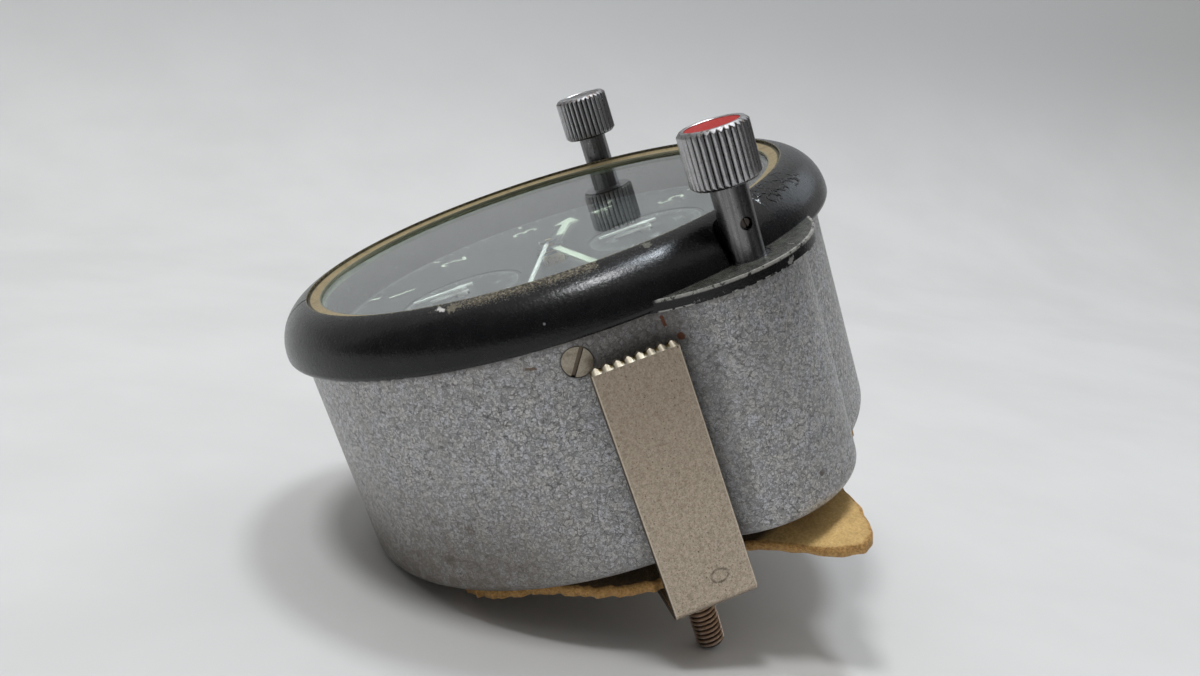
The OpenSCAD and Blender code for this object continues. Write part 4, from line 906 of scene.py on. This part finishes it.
# %% [markdown]
# The case screws are flush slotted heads round the case, with their slots at a slant. The grub
# screws in the knobs' cross holes are the same shape, only smaller.

# %% Case screws and grub screws
CASE_HEAD = slotted_face(radius=2.0 * MM, slot_w=0.56 * MM, slot_d=0.5 * MM, depth=0.8 * MM, bevel=0.08 * MM)
GRUB_HEAD = slotted_face(radius=0.66 * MM, slot_w=0.24 * MM, slot_d=0.3 * MM, depth=0.7 * MM,
                         bevel=0.06 * MM, steps=14)
SLOT_SLANT, GRUB_PROUD = 0.62, 0.12 * MM
heads = []
for angle in CASE_SCREW_ANGLES:
    out = heading(angle)
    heads.append(upright_head(CASE_HEAD, (out * CASE_R + (0, 0, CASE_SCREW_Z)) * MM, out,
                              (-SLOT_SLANT * out[1], SLOT_SLANT * out[0], 1.0)))
place_piece("case_screw_heads", mesh_of("heads", *heads), screw_nickel, "case", ["case_screws"], 30)

grub_out = heading(188)
for side in SIDES:
    middle = np.mean(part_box(f"{side}_grub_screw"), axis=0)
    head = upright_head(GRUB_HEAD, middle + grub_out * GRUB_PROUD, grub_out, (0.1, 0.25, 1.0))
    place_piece(f"{side}_grub_screw_head", mesh_of("head", head), browned, f"{side}_knob_set",
                [f"{side}_grub_screw"], 30)

# %% [markdown]
# ## Dial print
# The dial is matt black with pale luminous figures: the hours round the edge, a minute track, and
# two small dials for elapsed time. Plain numbers come from text turned into meshes; the tracks are
# arrays of small bars.

# %% Printed figures
def number(text, size, at, z):
    """Mesh points and faces of a number, centred at a place on the dial."""
    curve = bpy.data.curves.new("figures", "FONT")
    curve.body, curve.size, curve.resolution_u = text, size, 3
    holder = link("figures", curve)
    mesh = bpy.data.meshes.new_from_object(holder.evaluated_get(bpy.context.evaluated_depsgraph_get()))
    co, faces = points_of(mesh), [list(p.vertices) for p in mesh.polygons]
    bpy.data.objects.remove(holder)
    bpy.data.curves.remove(curve)
    bpy.data.meshes.remove(mesh)
    return co - (co.min(0) + co.max(0)) / 2 + np.array((*at, z)), faces


def bars(centre, r_in, r_out, width, count, z, skip=0):
    """Radial bars: a rectangle r_in..r_out by width, turned to each of count equal angles."""
    k = np.arange(count)
    k = k[(k % skip) != 0] if skip else k
    turn = np.pi / 2 - k * 2 * np.pi / count
    out = np.stack([np.cos(turn), np.sin(turn)], -1)
    side = np.stack([-np.sin(turn), np.cos(turn)], -1) * width / 2
    corners = np.stack([out * r_in - side, out * r_out - side, out * r_out + side, out * r_in + side], 1)
    co = np.concatenate([corners + np.array(centre), np.full((*corners.shape[:2], 1), z)], -1)
    return co, np.arange(len(k) * 4).reshape(-1, 4).tolist()


def ring(centre, r_in, r_out, z, count):
    """A flat ring."""
    return skin(revolve([(r_in, z), (r_out, z)], full_turn(count), centre), True)


def place_print(name, shapes, material):
    """Makes one piece of printed shapes."""
    points, faces = join(shapes)
    mesh = bpy.data.meshes.new(name)
    mesh.from_pydata(points.tolist(), [], faces)
    place_piece(name, mesh, material, "case")


SMALL_DIAL_SINK, PRINT_T = 0.2 * MM, 0.04 * MM
MIDDLE = (0, 0)
TRACK_OUT, SMALL_OUT, SMALL_FIGURE, SMALL_REACH = 33.4 * MM, 8.7 * MM, 2.3 * MM, 5.6 * MM
DIAL_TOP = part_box("dial")[1][2]
top, low = DIAL_TOP + PRINT_T, DIAL_TOP - SMALL_DIAL_SINK + PRINT_T
figures, tracks = [], []
for hour in range(1, 13):
    reach, size = (28.6 * MM, 5.2 * MM) if hour in (12, 6) else (27.2 * MM, 6.4 * MM)
    figures.append(number(str(hour), size, reach * heading(90 - 30 * hour)[:2], top))
figures.append(bars(MIDDLE, 31.4 * MM, TRACK_OUT, 0.6 * MM, 12, top))
tracks.append(bars(MIDDLE, 32.2 * MM, TRACK_OUT, 0.22 * MM, 60, top, 5))
tracks.append(ring(MIDDLE, 33.5 * MM, 33.66 * MM, top, 180))
for centre_y, labels in ((15.0 * MM, ("12", "3", "6", "9")), (-15.0 * MM, ("60", "15", "30", "45"))):
    centre = (0, centre_y)
    tracks.append(bars(centre, 7.8 * MM, SMALL_OUT, 0.13 * MM, 60, low, 5))
    tracks.append(bars(centre, 7.4 * MM, SMALL_OUT, 0.26 * MM, 12, low))
    tracks.append(ring(centre, 8.75 * MM, 8.86 * MM, low, 120))
    tracks += [number(label, SMALL_FIGURE, SMALL_REACH * heading(90 - 90 * k)[:2] + centre, low)
               for k, label in enumerate(labels)]
place_print("dial_figures", figures, figure_lume)
place_print("dial_tracks", tracks, track_print)

# %% [markdown]
# ## Knobs
# Each knob has 32 flutes. Its head is a grid of angle by profile: the side's radius dips in a sharp
# groove between rounded ridges, and a cone limits it at the top and bottom, which makes the
# scalloped bevel. A boolean cut opens the cross hole for the grub screw.

# %% Knobs
KNOB_R, KNOB_LOW, KNOB_TOP, KNOB_BEVEL = 4.6 * MM, 11.4 * MM, 18.8 * MM, 0.5 * MM
FLUTES, FLUTE_DEPTH = 32, 0.36 * MM
SHANK_R, SHANK_LOW, STEM_R, STEM_TOP = 2.4 * MM, -2.0 * MM, 1.25 * MM, 10.5 * MM
DISC_R, DISC_DEPTH = 3.55 * MM, 0.5 * MM
GRUB_HOLE_R, GRUB_HOLE_DEPTH, GRUB_Z = 0.85 * MM, 3 * MM, 6.2 * MM


def knob_grid(centre, per_flute=14):
    """Profile rows (z, largest radius, 1 where the flutes cut) from the stem hole up to the disc's seat;
    a fluted row's radius is the lesser of its own and the ridge, a quarter sine up from each groove."""
    small = KNOB_R - KNOB_BEVEL
    rows = [(STEM_TOP, 0, 0), (STEM_TOP, STEM_R, 0), (SHANK_LOW, STEM_R, 0),
            (SHANK_LOW, SHANK_R - 0.1 * MM, 0), (SHANK_LOW + 0.1 * MM, SHANK_R, 0), (6.0 * MM, SHANK_R, 0),
            (KNOB_LOW - 0.15 * MM, SHANK_R, 0), (KNOB_LOW, SHANK_R + 0.15 * MM, 0), (KNOB_LOW, small, 0)]
    rows += [(KNOB_LOW + t * KNOB_BEVEL, small + t * KNOB_BEVEL, 1) for t in np.linspace(0.1, 1, 6)]
    rows += [(z, KNOB_R + 0.1 * MM, 1) for z in np.linspace(KNOB_LOW + 1.5 * MM, KNOB_TOP - 1.5 * MM, 3)]
    rows += [(KNOB_TOP - t * KNOB_BEVEL, small + t * KNOB_BEVEL, 1) for t in np.linspace(1, 0.02, 7)]
    rows += [(KNOB_TOP, small - 0.02 * MM, 0), (KNOB_TOP, DISC_R + 0.06 * MM, 0),
             (KNOB_TOP - 0.06 * MM, DISC_R, 0), (KNOB_TOP - DISC_DEPTH, DISC_R, 0),
             (KNOB_TOP - DISC_DEPTH, 0, 0)]
    z, widest, fluted = np.array(rows).T[:, :, None]
    turn = full_turn(FLUTES * per_flute)
    rise = 1 - np.abs((turn * FLUTES / (2 * np.pi)) % 1 * 2 - 1)
    ridge = KNOB_R - FLUTE_DEPTH * (1 - np.sin(rise * np.pi / 2))
    return round_axis(np.where(fluted > 0, np.minimum(widest, ridge), widest), z, turn, centre)


def cut_out(mesh, hole):
    """Takes a closed grid away from a closed mesh with an exact boolean, and returns the new mesh."""
    solid, cutter = link("solid", mesh), link("cutter", mesh_of("cutter", skin(hole, True)))
    change = solid.modifiers.new("cut", "BOOLEAN")
    change.operation, change.solver, change.object = "DIFFERENCE", "EXACT", cutter
    made = bpy.data.meshes.new_from_object(solid.evaluated_get(bpy.context.evaluated_depsgraph_get()))
    bpy.data.meshes.remove(cutter.data)
    bpy.data.objects.remove(solid)
    return made


for side in SIDES:
    axis = box_and_axis(f"{side}_knob")[2]
    hole = aim(rod(GRUB_HOLE_R, 0, GRUB_HOLE_DEPTH, 32), (*axis, GRUB_Z), grub_out, (0, 0, 1))
    mesh = cut_out(mesh_of("knob", skin(knob_grid(axis), True)), hole)
    place_piece(f"{side}_fluted_knob", mesh, knob_plate, f"{side}_knob_set",
                [f"{side}_knob"], 38)

# %% [markdown]
# ## Return springs
# A coil spring under each push arm brings its knob back. A round wire is carried along a helix.

# %% Return springs
COIL_WIRE, COIL_TURNS, COIL_END = 0.25 * MM, 8, 0.5 * MM


def coil_grid(centre, radius, z_low, z_high, per_turn=24, round_wire=8):
    """Rows along the helix, each a circle of the wire's radius in the upright plane through the axis."""
    turn = np.linspace(0, 2 * np.pi * COIL_TURNS, COIL_TURNS * per_turn + 1)[:, None]
    wire = full_turn(round_wire)
    z = z_low + (z_high - z_low) * turn / turn[-1] + COIL_WIRE * np.sin(wire)
    return round_axis(radius + COIL_WIRE * np.cos(wire), z, turn, centre)


for side in SIDES:
    low, high, axis = box_and_axis(f"{side}_return_spring")
    coil = coil_grid(axis, (high[0] - low[0]) / 2 - COIL_WIRE, low[2] + COIL_WIRE, high[2] - COIL_WIRE)
    rows, cols = coil.shape[:2]
    ends = [list(range(cols)), list(range((rows - 1) * cols, rows * cols))]
    mesh = mesh_of("coil", skin(coil, True), more=ends)
    place_piece(f"{side}_return_coil", mesh, polished, "case", [f"{side}_return_spring"], 60,
                (f"{side}_push", (*axis, low[2] + COIL_END), (*axis, high[2] - COIL_END)))

# %% [markdown]
# ## Clamp straps
# A strap is one bar bent into a hook. Its outline across the bar, a rectangle with rounded corners,
# is carried along the path: down the strap, round the bend and along the foot. At the upper end
# the rows follow worn teeth, and a small bevel rounds them off. A boolean cut makes the screw's hole.

# %% Clamp straps
STRAP_W, STRAP_T, STRAP_EDGE = STRAP_MM * MM, 1.4 * MM, 0.12 * MM
STRAP_OUT, BEND_R = 43.0381 * MM, 2.2 * MM
TOOTH_TIP, TOOTH_H = -3.75 * MM, 0.5 * MM
TOOTH_BEVEL, TOOTH_BASE, TOOTH_FLAT = 0.62 * MM, -4.45 * MM, 0.12
FOOT_LOW, FOOT_END = -40.5 * MM, 29.6 * MM
SCREW_AT, SCREW_HOLE_R = CLAMP_SCREW_AT[0] * MM, 2.06 * MM


def strap_outline(columns):
    """Loop of (across, through): outer face, two rounded corners, inner face, two rounded corners."""
    half, thick = STRAP_W / 2 - STRAP_EDGE, STRAP_T / 2 - STRAP_EDGE
    face = np.linspace(-half, half, columns)
    turn = np.radians([30, 60, 90])
    u, w = half + STRAP_EDGE * np.sin(turn), thick + STRAP_EDGE * np.cos(turn)
    flat = np.full(columns, STRAP_T / 2)
    across = np.concatenate([face, u, u[::-1], face[::-1], -u, -u[::-1]])
    through = np.concatenate([flat, w, -w[::-1], -flat, -w, w[::-1]])
    return across, through


def tooth_depth(across):
    """0 on a tooth's tip and 1 in a valley, in straight flanks with a small flat at the tip."""
    place = (across + STRAP_W / 2) / (STRAP_W / TOOTH_COUNT)
    near = 1 - np.abs(place - np.round(place)) * 2
    return np.clip((near - TOOTH_FLAT) / (1 - TOOTH_FLAT), 0, 1)


def strap_grid(columns):
    """Rows along the path, each with a middle point, an outward direction, a share of the thickness
    and how far its columns follow the teeth."""
    bend_x, bend_z = STRAP_OUT - BEND_R, FOOT_LOW + BEND_R
    mid_x, mid_r, mid_z = STRAP_OUT - STRAP_T / 2, BEND_R - STRAP_T / 2, FOOT_LOW + STRAP_T / 2
    rows = [(mid_x - TOOTH_BEVEL / 2, TOOTH_TIP, 1, 0, 1 - TOOTH_BEVEL / STRAP_T, 1)]
    rows += [(mid_x, z, 1, 0, 1, 0) for z in np.linspace(TOOTH_BASE, bend_z, 14)]
    rows += [(bend_x + mid_r * math.cos(t), bend_z - mid_r * math.sin(t), math.cos(t), -math.sin(t), 1, 0)
             for t in np.linspace(0, np.pi / 2, 13)[1:]]
    rows += [(x, mid_z, 0, -1, 1, 0) for x in np.linspace(bend_x, FOOT_END + STRAP_EDGE, 6)[1:]]
    rows += [(FOOT_END, mid_z, 0, -1, 1 - 2 * STRAP_EDGE / STRAP_T, 0)]
    x, z, out_x, out_z, share, teeth = np.array(rows).T[:, :, None]
    across, through = strap_outline(columns)
    wide = np.where(share < 1, across * (1 - 2 * STRAP_EDGE / STRAP_W), across)
    y = STRAP_MIDDLE * MM + wide + STRAP_LEAN * (z - STRAP_FOOT * MM)
    return np.stack([x + out_x * through * share, y,
                     z + out_z * through * share - teeth * TOOTH_H * tooth_depth(across)], -1)


def strap_caps(rows, columns):
    """Faces that close both ends: quads between the outer and the inner face, and one face at each side."""
    count = 2 * columns + 12
    k = np.arange(columns - 1)
    back = 2 * columns + 5 - k
    quads = np.stack([k, k + 1, back - 1, back], -1).tolist()
    right = list(range(columns - 1, columns + 7))
    left = [0] + list(range(count - 1, 2 * columns + 4, -1))
    return [[corner + start for corner in face] for start in (0, (rows - 1) * count)
            for face in quads + [right, left]]


FACE_COLUMNS = TOOTH_COUNT * 10 + 1
for side, sign in zip(SIDES, (-1, 1)):
    grid = strap_grid(FACE_COLUMNS) * (sign, 1, 1)
    hole = rod(SCREW_HOLE_R, FOOT_LOW - MM, FOOT_LOW + 3 * MM, 40, (sign * SCREW_AT, 0))
    mesh = cut_out(mesh_of("strap", skin(grid, True), more=strap_caps(len(grid), FACE_COLUMNS)), hole)
    place_piece(f"{side}_clamp_strap", mesh, nickel, f"{side}_clamp_body", [f"{side}_clamp"], 18)

# %% [markdown]
# ## Leather pad
# A piece of suede leather lies between the case's back and the clamps' feet. It is one cut sheet:
# round, straight at 12, with a flap that hangs from under each ear. Its middle surface is a polar
# grid, with a torn edge from a few sines and shallow dimples; Solidify gives it its thickness.

# %% Leather pad
PAD_TOP, PAD_T, PAD_HOLE_R = -34.0 * MM, 1.5 * MM, 3.0 * MM
PAD_R, PAD_STRAIGHT, PAD_TRIM = 37.5, 30, 0.3
PAD_SPOKES, PAD_RINGS = 960, 46
FLAP_ANGLE, FLAP_REACH, FLAP_DROOP, SAG_DROOP = 25.5, 12.5, 2.4, 2.4
FLAP_ABOVE, FLAP_BELOW, SAG_ANGLE, SAG_SPREAD = 8.0, 10.0, 6, 24
NOTCH, NOTCH_ANGLE, NOTCH_SPREAD = 1.8, 34, 9
HANG_FROM, HANG_LEAST, DIMPLE, FLAT_SPARE = 0.45, 0.35, 0.07, 1.01


def below_level(a):
    """Angle below the line from 9 to 3 o'clock, in degrees, the same on both sides."""
    return np.where(a > 270, 360 - a, np.where(a > 90, a - 180, -a))


def pad_flaps(a):
    """A bell curve of the angle for the flap under each ear, steeper on its upper side."""
    off = below_level(a) - FLAP_ANGLE
    return np.exp(-(off / np.where(off < 0, FLAP_ABOVE, FLAP_BELOW)) ** 2)


def pad_reach(a):
    """Edge radius in mm: a circle with two flaps, two shallow notches and two waves, cut straight on the
    12 o'clock side."""
    rad = np.radians(a)
    wave = 0.7 * np.sin(5 * rad + math.radians(40)) + 0.5 * np.sin(11 * rad)
    notch = NOTCH * np.exp(-((below_level(a) + NOTCH_ANGLE) / NOTCH_SPREAD) ** 2)
    plain = PAD_R + FLAP_REACH * pad_flaps(a) + wave - notch
    cut = (PAD_STRAIGHT + wave / 2) / np.maximum(np.sin(rad), 0.3)
    torn = 0.16 * np.sin(61 * rad + 1.0) + 0.12 * np.sin(97 * rad) + 0.1 * np.sin(151 * rad + 2)
    return np.where((a > 20) & (a < 160), np.minimum(plain, cut), plain) + torn - PAD_TRIM


def pad_hang(a, share):
    """How far the sheet hangs, in mm: nothing in the middle, most at the flaps' ends, with a slow wave."""
    sags = np.exp(-((below_level(a) - SAG_ANGLE) / SAG_SPREAD) ** 2)
    out = np.maximum(0, share - HANG_FROM) / (1 - HANG_FROM)
    slow_wave = HANG_LEAST + 0.3 * np.sin(7 * np.radians(a))
    return out ** 1.6 * (SAG_DROOP * sags + FLAP_DROOP * pad_flaps(a) + slow_wave)


a, s = np.meshgrid(np.arange(PAD_SPOKES) * 360 / PAD_SPOKES, np.linspace(0, 1, PAD_RINGS))
rad, r = np.radians(a), pad_reach(a) * s
dimple = DIMPLE * np.sin(r * 1.9 + 3 * np.sin(np.radians(3 * a))) * np.sin(rad * 9 + r * 0.4) * s
pad_co = round_axis(r * MM, PAD_TOP - PAD_T / 2 + (dimple - pad_hang(a, s)) * MM, rad)
inside = np.zeros(pad_co.shape[:2], bool)
for x in (-SCREW_AT, SCREW_AT):
    off = pad_co[:, :, :2] - np.array((x, 0))
    far = np.linalg.norm(off, axis=-1)
    near = far < PAD_HOLE_R
    inside |= near
    push = np.where(near, PAD_HOLE_R / np.maximum(far, 1e-9), 1)
    pad_co[:, :, :2] = np.array((x, 0)) + off * push[:, :, None]
quads = grid_faces(*pad_co.shape[:2], True)
pad_mesh = mesh_of("pad", (pad_co, quads[~inside.reshape(-1)[quads].all(1)].tolist()))
if np.mean([p.normal[2] for p in pad_mesh.polygons]) < 0:
    pad_mesh.flip_normals()
pad_mesh.shade_smooth()
flat_co = points_of(pad_mesh) / MM
round_at = np.degrees(np.arctan2(flat_co[:, 1], flat_co[:, 0])) % 360
edge = np.hypot(flat_co[:, 0], flat_co[:, 1]) / pad_reach(round_at)
pad_mesh.attributes.new("edge_share", "FLOAT", "POINT").data.foreach_set("value", edge.astype(np.float32))
pad = place_piece("leather_pad", pad_mesh, suede, "case", ["rear_pad"])
thickness = pad.modifiers.new("thickness", "SOLIDIFY")
thickness.thickness, thickness.offset = PAD_T, 0

# %% [markdown]
# ## Sizes
# Only the pad's torn edge reaches past the CAD's box, by a tenth of a millimetre.
